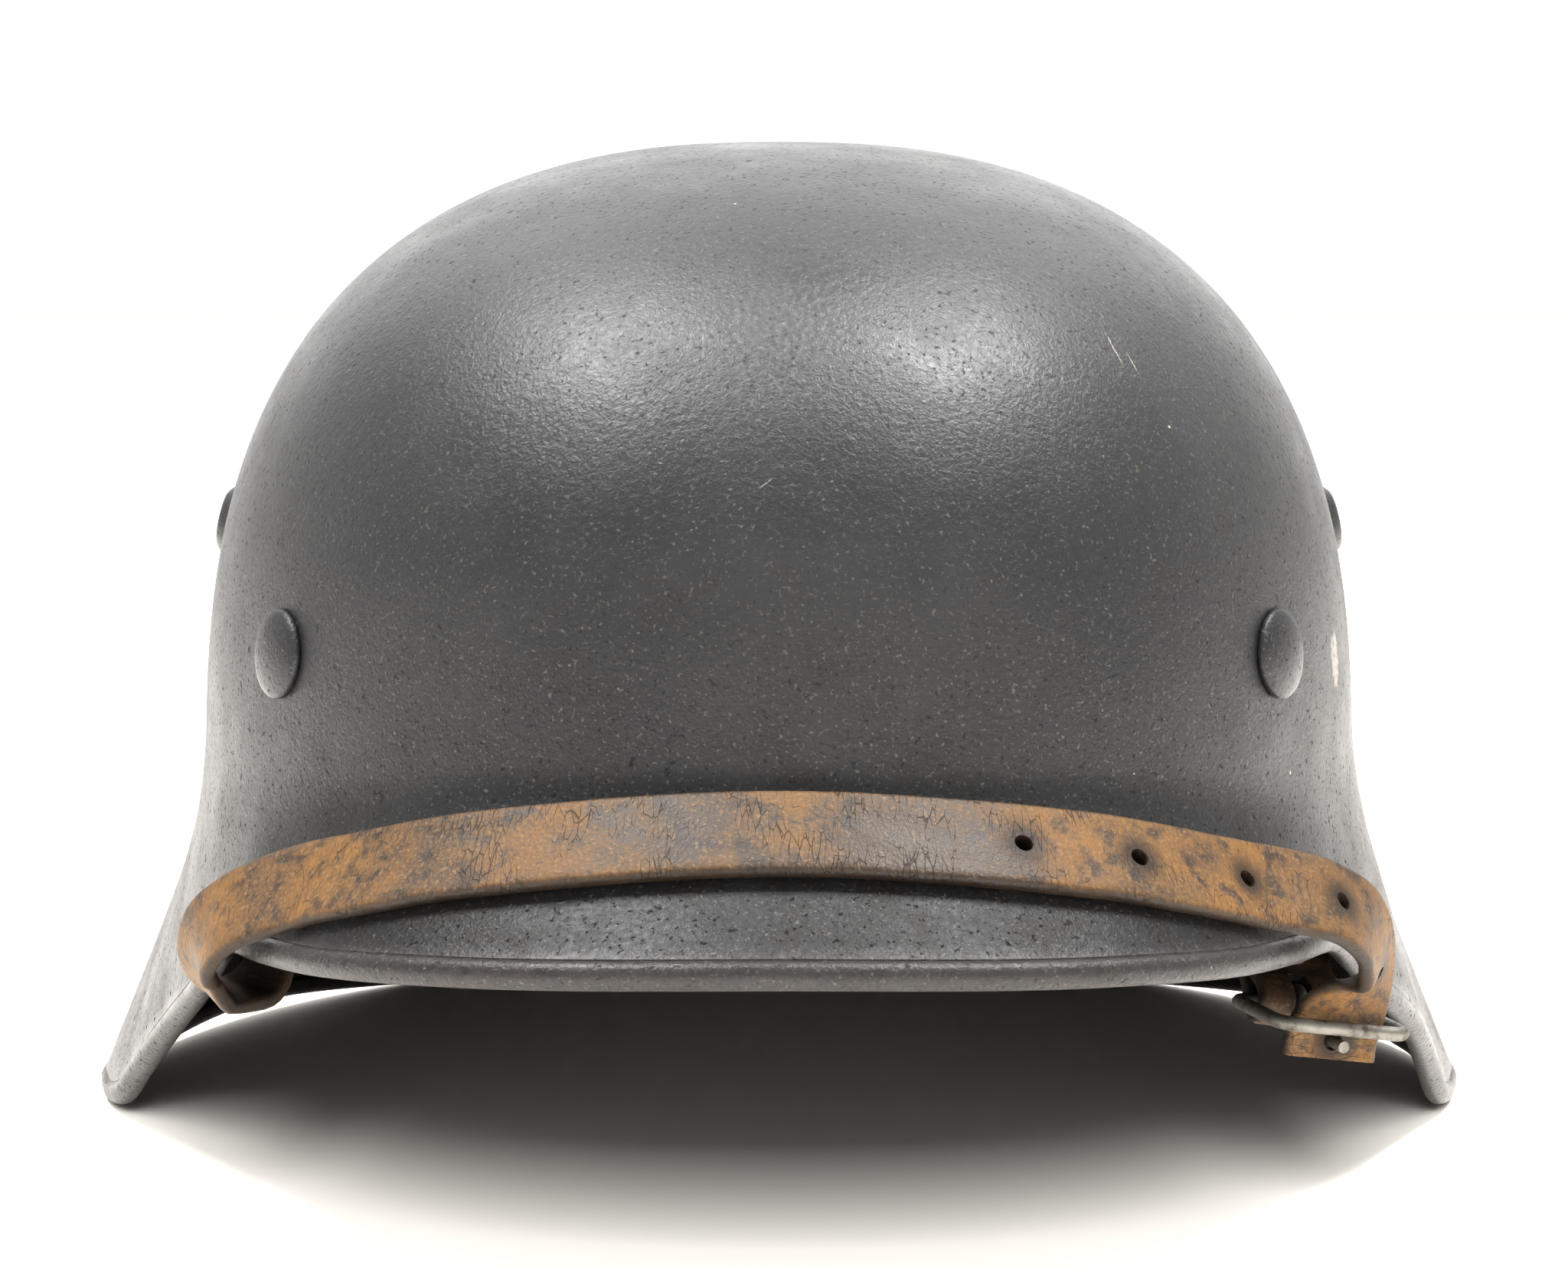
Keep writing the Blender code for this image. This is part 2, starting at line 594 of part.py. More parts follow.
def build_liner_band(collection, helpers, finish):
    """A plain steel band inside the wall, with a wire loop for each end of the chin strap."""
    outer_depth = SHEET + BAND_GAP
    low, high = RIVET_HEIGHT - BAND_WIDTH / 2, RIVET_HEIGHT + BAND_WIDTH / 2
    rings = []
    for azimuth in (360 * k / AROUND for k in range(AROUND)):
        outer = [around(azimuth, dome_radius(azimuth, z) - outer_depth, z) for z in (low, high)]
        inner = [around(azimuth, dome_radius(azimuth, z) - outer_depth - BAND_THICKNESS, z) for z in (high, low)]
        rings.append(outer + inner)
    band = loft("liner_band", rings, collection, finish, closed=True)
    holes = []
    for azimuth in (-RIVET_AZIMUTH, RIVET_AZIMUTH, 180):
        place = surface_frame(azimuth, RIVET_HEIGHT, outer_depth)
        holes.append(cylinder("band_hole", RIVET_SHANK + HOLE_PLAY, -3 * SHEET, SHEET, place, helpers))
    boolean(band, holes, "DIFFERENCE")
    loops = []
    for side in (-1, 1):
        place = loop_place(side)
        half, top = LOOP_WIDTH / 2, -LOOP_DROP - LOOP_LEG
        corner = 1.5 * LOOP_WIRE
        outline = [
            (-half, top), (-half, -corner), (-half + corner, 0),
            (half - corner, 0), (half, -corner), (half, top),
        ]
        path = [place @ Vector((x, y, 0)) for x, y in outline]
        loops.append(as_mesh(wire("loop_wire", path, LOOP_WIRE, helpers), helpers))
    boolean(band, loops, "UNION")
    return band


def buckle_place():
    """The frame of the buckle: x along its front wire, y back to the bar that it hinges on, z up."""
    turn = Matrix.Rotation(FRAME_TURN, 4, "Z") @ Matrix.Rotation(FRAME_TILT, 4, "Y")
    return Matrix.Translation(from_shares(FRAME_CENTRE)) @ turn


def build_buckle(collection, helpers, finish):
    place = buckle_place()
    path = []
    for x, y, first in ((1, 1, 0), (-1, 1, 90), (-1, -1, 180), (1, -1, 270)):
        for turn in (0, 30, 60, 90):
            a = math.radians(first + turn)
            path.append(place @ Vector((
                x * (FRAME_WIDTH / 2 - FRAME_CORNER) + FRAME_CORNER * math.cos(a),
                y * (FRAME_DEPTH / 2 - FRAME_CORNER) + FRAME_CORNER * math.sin(a),
                0,
            )))
    wire("buckle_frame", path, WIRE, collection, finish, closed=True)
    ring = WIRE + SEAT + TONGUE_WIRE
    tip = Vector((0, -FRAME_DEPTH / 2 - 0.6 * WIRE, -WIRE - SEAT - 1.3 * TONGUE_WIRE))
    hinge = Vector((0, FRAME_DEPTH / 2, 0))
    path = [hinge + ring * Vector((0, math.cos(math.radians(a)), math.sin(math.radians(a))))
            for a in range(200, -100, -30)]
    path += [Vector((0, FRAME_DEPTH / 2 - 1.2 * ring, -ring)), tip]
    wire("buckle_tongue", [place @ point for point in path], TONGUE_WIRE, collection, finish)
    return place @ tip


def build_short_strap(collection, helpers, leather, finish):
    """From the right loop down to the buckle's bar, folded round both."""
    above = loop_place(1)
    hinge = buckle_place() @ Matrix.Translation((0, FRAME_DEPTH / 2, 0))
    below = hinge @ Matrix.Rotation(HINGE_CLIMB, 4, "X")
    knots = bar_knots(above, LOOP_WIRE, SHORT_THICKNESS, 1)
    ending = bar_knots(below, WIRE, SHORT_THICKNESS, 1)
    fine = curve_through(knots + hung(SHORT_MIDDLE) + ending[::-1])
    short = strap("chin_strap_short", fine, SHORT_THICKNESS, collection, leather)
    slot = cylinder(
        "tongue_slot", WIRE + 2 * SEAT + SHORT_THICKNESS + TONGUE_WIRE, -SLOT_WIDTH / 2, SLOT_WIDTH / 2,
        below @ Matrix.Rotation(math.radians(90), 4, "Y"), helpers, sides=20,
    )
    boolean(short, [slot, stud_hole(above, helpers), stud_hole(below, helpers)], "DIFFERENCE")
    for name, place in (("strap_stud_right", above), ("buckle_stud", below)):
        stud(name, place, SHORT_THICKNESS, collection, finish)


def long_route():
    """Knots of the long strap: from the left loop under the rim, over the visor and down through the buckle."""
    rise = SEAT + STRAP_THICKNESS / 2 + STRAP_WIDTH / 2 * math.sin(STRAP_LEAN)
    knots = bar_knots(loop_place(-1), LOOP_WIRE, STRAP_THICKNESS, -1)
    knots += hung(LEFT_TURN)
    for azimuth in range(-34, 35, 4):
        share = VISOR_SHARE + VISOR_DROOP * (azimuth / DROOP_AZIMUTH) ** 2
        place = visor_frame(azimuth, share, rise) @ Matrix.Rotation(STRAP_LEAN, 4, "X")
        knots.append((place.translation, place.to_3x3() @ Vector((0, 0, 1))))
    return knots + hung(RIGHT_TURN)


def build_long_strap(tongue_tip, collection, helpers, leather, finish):
    place = loop_place(-1)
    fine = curve_through(long_route())
    long = strap("chin_strap_long", fine, STRAP_THICKNESS, collection, leather)
    stud("strap_stud_left", place, STRAP_THICKNESS, collection, finish)
    total = lengths_along(fine)
    at_tongue = min(range(len(fine)), key=lambda i: (fine[i][0] - tongue_tip).length)
    holes = [stud_hole(place, helpers)]
    for distance in HOLES:
        centre = frame_along(fine, total[at_tongue] - distance)
        reach = STRAP_THICKNESS
        holes.append(cylinder("strap_hole", HOLE_RADIUS, -reach, reach, centre, helpers, sides=12))
    boolean(long, holes, "DIFFERENCE")


def main():
    for obj in list(bpy.data.objects):
        bpy.data.objects.remove(obj)
    helmet = new_collection("steel_helmet")
    helpers = new_collection("helpers")
    painted = material("painted_steel", STEEL_COLOUR, 0.55, 0.0)
    bare = material("dull_steel", BARE_STEEL_COLOUR, 0.45, 1.0)
    leather = material("brown_leather", LEATHER_COLOUR, 0.6, 0.0)
    build_shell(helmet, helpers, painted)
    rivets = (("rivet_front_left", -RIVET_AZIMUTH), ("rivet_front_right", RIVET_AZIMUTH), ("rivet_back", 180))
    for name, azimuth in rivets:
        build_rivet(name, azimuth, helmet, helpers, painted)
    build_liner_band(helmet, helpers, bare)
    tongue_tip = build_buckle(helmet, helpers, bare)
    build_short_strap(helmet, helpers, leather, bare)
    build_long_strap(tongue_tip, helmet, helpers, leather, bare)


main()
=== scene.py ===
"""The look of a pressed steel helmet whose worn leather chin strap lies over the visor.

Metres, +Z up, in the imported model's frame: the helmet stands on its rim at z = 0 and faces -Y. Left and
right are as seen from the front. An azimuth is in degrees round the helmet from the front, +90 at +X.
"""

from __future__ import annotations

import logging
import math
from bisect import bisect_right
from collections.abc import Callable, Sequence
from dataclasses import dataclass
from enum import Enum

import bpy
from mathutils import Matrix, Vector, kdtree, noise

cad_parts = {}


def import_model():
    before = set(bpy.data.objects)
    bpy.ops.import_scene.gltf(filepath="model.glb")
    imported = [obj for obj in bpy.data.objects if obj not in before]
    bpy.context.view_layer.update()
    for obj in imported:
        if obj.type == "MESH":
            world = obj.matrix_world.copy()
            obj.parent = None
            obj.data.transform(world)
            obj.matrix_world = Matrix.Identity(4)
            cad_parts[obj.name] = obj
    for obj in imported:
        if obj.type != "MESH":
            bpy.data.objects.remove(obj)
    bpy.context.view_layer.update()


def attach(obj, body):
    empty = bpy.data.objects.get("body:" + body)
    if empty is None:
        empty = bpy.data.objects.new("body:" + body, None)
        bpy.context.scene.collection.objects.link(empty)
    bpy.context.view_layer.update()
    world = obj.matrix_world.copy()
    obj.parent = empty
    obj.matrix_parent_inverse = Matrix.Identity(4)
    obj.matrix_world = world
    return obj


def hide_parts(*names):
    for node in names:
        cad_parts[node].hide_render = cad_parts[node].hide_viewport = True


LOG = logging.getLogger("helmet")
# Points nearer than MERGE become one, and pieces that would touch keep SEAT between them.
MERGE = 1e-5
SEAT = 0.0004
RIVET_HEIGHT = 0.0902
RIVET_HOLE = 0.0023
STRAP_WIDTH = 0.0150
END_TAIL = 0.0132
END_STUD = 0.0092
# A knot is a place and the direction of a strap's outer face there, and a row holds both as numbers.
Knot = tuple[Vector, Vector]
Rows = tuple[tuple[tuple[float, ...], tuple[float, ...]], ...]
Object = bpy.types.Object
Tree = bpy.types.NodeTree
Socket = bpy.types.NodeSocket


class Side(Enum):
    """Which side of the helmet, as seen from the front."""

    LEFT = -1
    RIGHT = 1


def linear(colour: str) -> tuple[float, float, float, float]:
    """Linear light of an sRGB hex colour, with a full alpha."""
    shares = [int(colour[i : i + 2], 16) / 255 for i in (1, 3, 5)]
    light = [s / 12.92 if s <= 0.04045 else ((s + 0.055) / 1.055) ** 2.4 for s in shares]
    return (*light, 1.0)


def per_mm(size: float) -> float:
    """Scale of a pattern whose cells measure this many millimetres."""
    return 1000.0 / size


def plug(tree: Tree, node: bpy.types.Node, inputs: dict) -> None:
    """Fills a node's sockets, by name or number, each with a value or another node's output."""
    for key, value in inputs.items():
        if isinstance(value, Socket):
            tree.links.new(value, node.inputs[key])
        else:
            node.inputs[key].default_value = value


def add_node(tree: Tree, kind: str, inputs: dict | None = None, **settings: str | bool) -> bpy.types.Node:
    """Adds a shader node.

    Args:
        tree: The material's node tree.
        kind: The node's type after ShaderNode, such as TexNoise.
        inputs: Its sockets by name or number, each with a value or another node's output.
        settings: Its properties by name.

    Returns:
        The new node.
    """
    made = tree.nodes.new(f"ShaderNode{kind}")
    for name, value in settings.items():
        setattr(made, name, value)
    plug(tree, made, inputs or {})
    return made


def new_material(name: str) -> tuple[bpy.types.Material, Tree, bpy.types.Node]:
    """A new material, its node tree and its shader."""
    made = bpy.data.materials.new(name)
    made.use_nodes = True
    return made, made.node_tree, made.node_tree.nodes["Principled BSDF"]


def deselect() -> None:
    """Leaves nothing selected and no object in edit mode."""
    if bpy.context.object and bpy.context.object.mode != "OBJECT":
        bpy.ops.object.mode_set(mode="OBJECT")
    bpy.ops.object.select_all(action="DESELECT")


def take(obj: Object) -> None:
    """Selects one object alone and makes it active."""
    deselect()
    obj.select_set(True)
    bpy.context.view_layer.objects.active = obj


def apply_modifiers(obj: Object) -> None:
    """Applies every modifier of an object, first to last."""
    take(obj)
    for step in list(obj.modifiers):
        bpy.ops.object.modifier_apply(modifier=step.name)


def close_seams(obj: Object) -> None:
    """Merges the points that lie on each other and turns the faces outwards."""
    take(obj)
    bpy.ops.object.mode_set(mode="EDIT")
    bpy.ops.mesh.select_all(action="SELECT")
    bpy.ops.mesh.remove_doubles(threshold=MERGE)
    bpy.ops.mesh.normals_make_consistent(inside=False)
    bpy.ops.object.mode_set(mode="OBJECT")


def shaped_grid(
    name: str, across: int, along: int, rule: Callable[[float, float], Vector],
) -> Object:
    """A grid primitive that is drawn over a surface and closed where its edges meet.

    Args:
        name: The object's name.
        across: Faces in the first direction.
        along: Faces in the second one.
        rule: The surface's point for two shares from 0 to 1.

    Returns:
        The object, at the origin.
    """
    deselect()
    bpy.ops.mesh.primitive_grid_add(x_subdivisions=across, y_subdivisions=along, size=1)
    obj = bpy.context.object
    obj.name = name
    for vertex in obj.data.vertices:
        vertex.co = rule(vertex.co.x + 0.5, vertex.co.y + 0.5)
    close_seams(obj)
    return obj


def turned(name: str, profile: Sequence[tuple[float, float]], sides: int) -> Object:
    """A turned shape about Z, from a circle that is extruded and resized along a profile.

    Args:
        name: The object's name.
        profile: Radius and height of each ring. One that ends where it starts gives a ring with a hole,
            and any other is closed with flat ends.
        sides: Sides of the circle.

    Returns:
        The object, at the origin.
    """
    deselect()
    radius, height = profile[0]
    fill = "NOTHING" if profile[0] == profile[-1] else "NGON"
    bpy.ops.mesh.primitive_circle_add(vertices=sides, radius=radius, fill_type=fill, location=(0, 0, height))
    obj = bpy.context.object
    obj.name = name
    bpy.ops.object.transform_apply(location=True, rotation=False, scale=False)
    bpy.ops.object.mode_set(mode="EDIT")
    bpy.ops.mesh.select_all(action="SELECT")
    for after_radius, after_height in profile[1:]:
        bpy.ops.mesh.extrude_region_move(TRANSFORM_OT_translate={"value": (0, 0, after_height - height)})
        share = after_radius / radius
        bpy.ops.transform.resize(value=(share, share, 1))
        radius, height = after_radius, after_height
    bpy.ops.object.mode_set(mode="OBJECT")
    close_seams(obj)
    return obj


def wire(name: str, path: Sequence[Vector], radius: float, closed: bool = False) -> Object:
    """A round wire.

    Args:
        name: The object's name.
        path: Its centre line.
        radius: Of the wire.
        closed: Whether the last point leads back to the first.

    Returns:
        A mesh object at the origin.
    """
    curve = bpy.data.curves.new(name, "CURVE")
    curve.dimensions = "3D"
    curve.bevel_depth = radius
    curve.bevel_resolution = 6
    curve.use_fill_caps = not closed
    run = curve.splines.new("POLY")
    run.points.add(len(path) - 1)
    for point, place in zip(run.points, path):
        point.co = (*place, 1)
    run.use_cyclic_u = closed
    obj = bpy.data.objects.new(name, curve)
    bpy.context.scene.collection.objects.link(obj)
    take(obj)
    bpy.ops.object.convert(target="MESH")
    obj = bpy.context.object
    close_seams(obj)
    return obj


def drill(radius: float, depth: float, place: Matrix, sides: int) -> Object:
    """A round cutter along z of a place.

    Args:
        radius: Of the hole.
        depth: The cutter's whole length.
        place: The hole's middle.
        sides: Of the circle.

    Returns:
        The cutter.
    """
    deselect()
    bpy.ops.mesh.primitive_cylinder_add(vertices=sides, radius=radius, depth=depth)
    cutter = bpy.context.object
    cutter.data.transform(place)
    return cutter


def join(pieces: Sequence[Object]) -> Object:
    """Joins objects into the first one."""
    take(pieces[0])
    for piece in pieces:
        piece.select_set(True)
    bpy.ops.object.join()
    return bpy.context.object


def combine(obj: Object, others: Sequence[Object], operation: str) -> None:
    """Cuts other objects away from one, or melts them into it, and removes them.

    Args:
        obj: The object that is kept.
        others: The tools, which don't touch each other.
        operation: DIFFERENCE or UNION.
    """
    tool = join(others) if len(others) > 1 else others[0]
    step = obj.modifiers.new("combine", "BOOLEAN")
    step.object = tool
    step.operation = operation
    step.solver = "EXACT"
    apply_modifiers(obj)
    bpy.data.objects.remove(tool)


def framed(origin: Vector, x: Vector, y: Vector, z: Vector) -> Matrix:
    """A frame from its origin and its three directions."""
    return Matrix.Translation(origin) @ Matrix((x, y, z)).transposed().to_4x4()


def frame_at(origin: Vector, level: Vector, outward: Vector) -> Matrix:
    """A frame whose z is outward and whose x is about level."""
    outward = outward.normalized()
    level = (level - outward * level.dot(outward)).normalized()
    return framed(origin, level, outward.cross(level), outward)


def signed(azimuth: float) -> float:
    """The same azimuth between -180 and 180."""
    return (azimuth + 180) % 360 - 180


def around(azimuth: float, radius: float, height: float) -> Vector:
    """The point at an azimuth, a radius and a height."""
    a = math.radians(azimuth)
    return Vector((radius * math.sin(a), -radius * math.cos(a), height))


def eased(t: float, step: float, first: tuple, last: tuple) -> float | Vector:
    """A smooth curve between two knots.

    Args:
        t: From 0 at the first knot to 1 at the last.
        step: Length between them.
        first: Value and slope of the first one.
        last: Value and slope of the last one.

    Returns:
        The value there.
    """
    return (
        first[0] * (1 + 2 * t) * (1 - t) ** 2
        + first[1] * step * t * (1 - t) ** 2
        + last[0] * t * t * (3 - 2 * t)
        + last[1] * step * t * t * (t - 1)
    )


def arc(centre: Vector, radius: float, first: float, last: float, count: int) -> list[Vector]:
    """Points of an arc in a plane, ends included, from one angle in radians to another."""
    turns = [first + (last - first) * k / (count - 1) for k in range(count)]
    return [centre + radius * Vector((math.cos(a), math.sin(a))) for a in turns]


@dataclass(frozen=True)
class Section:
    """How the shell runs at one azimuth, in shares of its named sizes."""

    azimuth: float
    corner: float
    fillet: float
    visor: float
    flare: float
    neck: float
    lift: float


@dataclass(frozen=True)
class Rounding:
    """How round the dome's profile is at one azimuth."""

    azimuth: float
    waist: float
    outward: float
    upward: float


@dataclass
class HelmetForm:
    """The pressed shell's shape, as numbers."""

    sheet: float = 0.0012
    dome_width: float = 0.1902
    dome_length: float = 0.2330
    crown_height: float = 0.1665
    plan_power: float = 2.15
    fillet: float = 0.0160
    visor_reach: float = 0.0237
    flare_reach: float = 0.0262
    neck_reach: float = 0.0238
    visor_lift: float = 0.0525
    bead_radius: float = 0.0023
    bead_start: float = math.radians(40)
    bead_end: float = math.radians(235)
    foot_half: float = math.radians(22.5)
    spring: float = 0.0045
    spring_azimuth: float = 70
    spring_half: float = 30
    sections: tuple[Section, ...] = (
        Section(0, 0.4500, 0.35, 1.00, 0.00, 0.00, 1.000),
        Section(20, 0.4380, 0.36, 0.88, 0.00, 0.00, 0.960),
        Section(30, 0.4200, 0.42, 0.73, 0.00, 0.00, 0.925),
        Section(38, 0.4000, 0.52, 0.54, 0.00, 0.00, 0.900),
        Section(46, 0.3800, 0.62, 0.33, 0.00, 0.00, 0.870),
        Section(53, 0.3700, 0.70, 0.17, 0.02, 0.00, 0.765),
        Section(62, 0.3650, 0.78, 0.06, 0.08, 0.00, 0.600),
        Section(72, 0.3680, 0.85, 0.01, 0.20, 0.00, 0.438),
        Section(79, 0.3740, 0.90, 0.00, 0.32, 0.00, 0.316),
        Section(86, 0.3820, 0.95, 0.00, 0.48, 0.00, 0.177),
        Section(93, 0.3880, 1.00, 0.00, 0.68, 0.00, 0.035),
        Section(98, 0.3900, 1.00, 0.00, 0.82, 0.00, 0.000),
        Section(104, 0.3900, 1.00, 0.00, 0.96, 0.00, 0.000),
        Section(114, 0.3850, 1.00, 0.00, 1.02, 0.00, 0.022),
        Section(130, 0.3650, 1.00, 0.00, 0.66, 0.40, 0.050),
        Section(152, 0.3350, 0.95, 0.00, 0.18, 0.84, 0.000),
        Section(180, 0.3150, 0.90, 0.00, 0.00, 1.00, 0.000),
    )
    roundings: tuple[Rounding, ...] = (
        Rounding(0, 0.400, 2.25, 2.80),
        Rounding(90, 0.340, 2.42, 2.85),
        Rounding(180, 0.330, 2.10, 2.45),
    )
    dome_rows: int = 46
    fillet_rows: int = 10
    wall_rows: int = 9
    bead_rows: int = 22

    def read(self, table: Sequence[Section | Rounding], column: str, azimuth: float) -> float:
        """A column of a table between its rows.

        Args:
            table: Sections or roundings.
            column: The field to read.
            azimuth: Where.

        Returns:
            The value of a smooth curve through the rows, level at both ends and with no overshoot.
        """
        at = abs(signed(azimuth))
        key = [row.azimuth for row in table]
        value = [getattr(row, column) for row in table]
        rise = [(value[i + 1] - value[i]) / (key[i + 1] - key[i]) for i in range(len(key) - 1)]
        slope = [0.0]
        for before, after in zip(rise, rise[1:]):
            slope.append(0.0 if before * after <= 0 else 2 * before * after / (before + after))
        slope.append(0.0)
        i = max(k for k in range(len(key) - 1) if key[k] <= at)
        step = key[i + 1] - key[i]
        return eased((at - key[i]) / step, step, (value[i], slope[i]), (value[i + 1], slope[i + 1]))

    def wall_radius(self, azimuth: float) -> float:
        """Outside radius of the dome where it is widest."""
        a = math.radians(azimuth)
        across = abs(math.sin(a) / (self.dome_width / 2)) ** self.plan_power
        along = abs(math.cos(a) / (self.dome_length / 2)) ** self.plan_power
        return (across + along) ** (-1 / self.plan_power)

    def dome_radius(self, azimuth: float, height: float) -> float:
        """Outside radius of the dome at a height."""
        waist = self.crown_height * self.read(self.roundings, "waist", azimuth)
        share = min(1.0, max(0.0, (height - waist) / (self.crown_height - waist)))
        inward = max(0.0, 1 - share ** self.read(self.roundings, "upward", azimuth))
        return self.wall_radius(azimuth) * inward ** (1 / self.read(self.roundings, "outward", azimuth))

    def bead_centre(self, azimuth: float) -> Vector:
        """Radius and height of the centre of the rolled edge."""
        away = abs(signed(azimuth) - self.spring_azimuth) / self.spring_half
        sprung = self.spring * math.cos(away * math.pi / 2) ** 2 if away < 1 else 0.0
        reach = (
            self.visor_reach * self.read(self.sections, "visor", azimuth)
            + self.flare_reach * self.read(self.sections, "flare", azimuth)
            + self.neck_reach * self.read(self.sections, "neck", azimuth)
        )
        lift = self.visor_lift * self.read(self.sections, "lift", azimuth)
        height = self.bead_radius * math.cos(self.foot_half) + lift
        return Vector((self.wall_radius(azimuth) + reach + sprung, height))

    def flare_line(self, azimuth: float) -> tuple[Vector, float, float]:
        """The straight line of the flare or visor in its section.

        Args:
            azimuth: Where.

        Returns:
            Its corner as radius and height, its bearing and its length to the bead.
        """
        height = self.crown_height * self.read(self.sections, "corner", azimuth)
        corner = Vector((self.dome_radius(azimuth, height), height))
        to_centre = self.bead_centre(azimuth) - corner
        aside = math.asin(self.bead_radius * math.cos(self.bead_start) / to_centre.length)
        bearing = math.atan2(to_centre.y, to_centre.x) + aside
        length = to_centre.length * math.cos(aside) - self.bead_radius * math.sin(self.bead_start)
        return corner, bearing, length

    def section(self, azimuth: float) -> list[Vector]:
        """Outside face of the sheet in one section, from the crown to the end of the roll.

        Args:
            azimuth: Where.

        Returns:
            Points of radius and height, as many at every azimuth.
        """
        corner, bearing, length = self.flare_line(azimuth)
        fillet = min(self.fillet * self.read(self.sections, "fillet", azimuth), 0.8 * length)
        waist = self.crown_height * self.read(self.roundings, "waist", azimuth)
        upward = self.read(self.roundings, "upward", azimuth)
        last_rise = (corner.y + fillet - waist) / (self.crown_height - waist)
        last_turn = math.acos(max(0.0, last_rise) ** (upward / 2))
        points = [Vector((0.0, self.crown_height))]
        for row in range(1, self.dome_rows + 1):
            climb = math.cos(last_turn * row / self.dome_rows) ** (2 / upward)
            height = waist + (self.crown_height - waist) * climb
            points.append(Vector((self.dome_radius(azimuth, height), height)))
        start = points[-1]
        along = Vector((math.cos(bearing), math.sin(bearing)))
        end = corner + along * fillet
        for row in range(1, self.fillet_rows + 1):
            t = row / self.fillet_rows
            points.append(start * (1 - t) ** 2 + corner * 2 * t * (1 - t) + end * t * t)
        for row in range(1, self.wall_rows + 1):
            points.append(end.lerp(corner + along * length, row / self.wall_rows))
        top = bearing + math.radians(90)
        roll = arc(
            self.bead_centre(azimuth), self.bead_radius * math.cos(self.foot_half),
            top + self.bead_start, top - self.bead_end, self.bead_rows,
        )
        return points + roll

    def surface_frame(self, azimuth: float, height: float, depth: float = 0.0) -> Matrix:
        """A frame on the dome, this deep under its outside, with z outwards and x level."""
        turn, climb = 0.5, 0.0005
        here = around(azimuth, self.dome_radius(azimuth, height), height)
        beside = around(azimuth + turn, self.dome_radius(azimuth + turn, height), height)
        above = around(azimuth, self.dome_radius(azimuth, height + climb), height + climb)
        outward = (beside - here).cross(above - here).normalized()
        return frame_at(here - outward * depth, Vector((0, 0, 1)).cross(outward), outward)

    def on_dome(self, azimuth: float, height: float, local: Vector) -> Vector:
        """A point that is wrapped on the dome.

        Args:
            azimuth: Azimuth of the wrap's middle.
            height: Height of its middle.
            local: Level offset, climbing offset and rise from the surface.

        Returns:
            The point in space.
        """
        middle = self.surface_frame(azimuth, height)
        climb = (middle.to_3x3() @ Vector((0, 1, 0))).z
        turn = math.degrees(local.x / self.dome_radius(azimuth, height))
        place = self.surface_frame(azimuth + turn, height + local.y * climb)
        return place @ Vector((0, 0, local.z))

    def visor_frame(self, azimuth: float, share: float, rise: float) -> Matrix:
        """A frame over the visor, at a share of its line, with z up from its face and x along the visor."""
        corner, bearing, length = self.flare_line(azimuth)
        point = corner + length * share * Vector((math.cos(bearing), math.sin(bearing)))
        up = Vector((-math.sin(bearing), math.cos(bearing)))
        origin = around(azimuth, point.x + up.x * rise, point.y + up.y * rise)
        return frame_at(origin, around(azimuth + 90, 1, 0), around(azimuth, up.x, up.y))


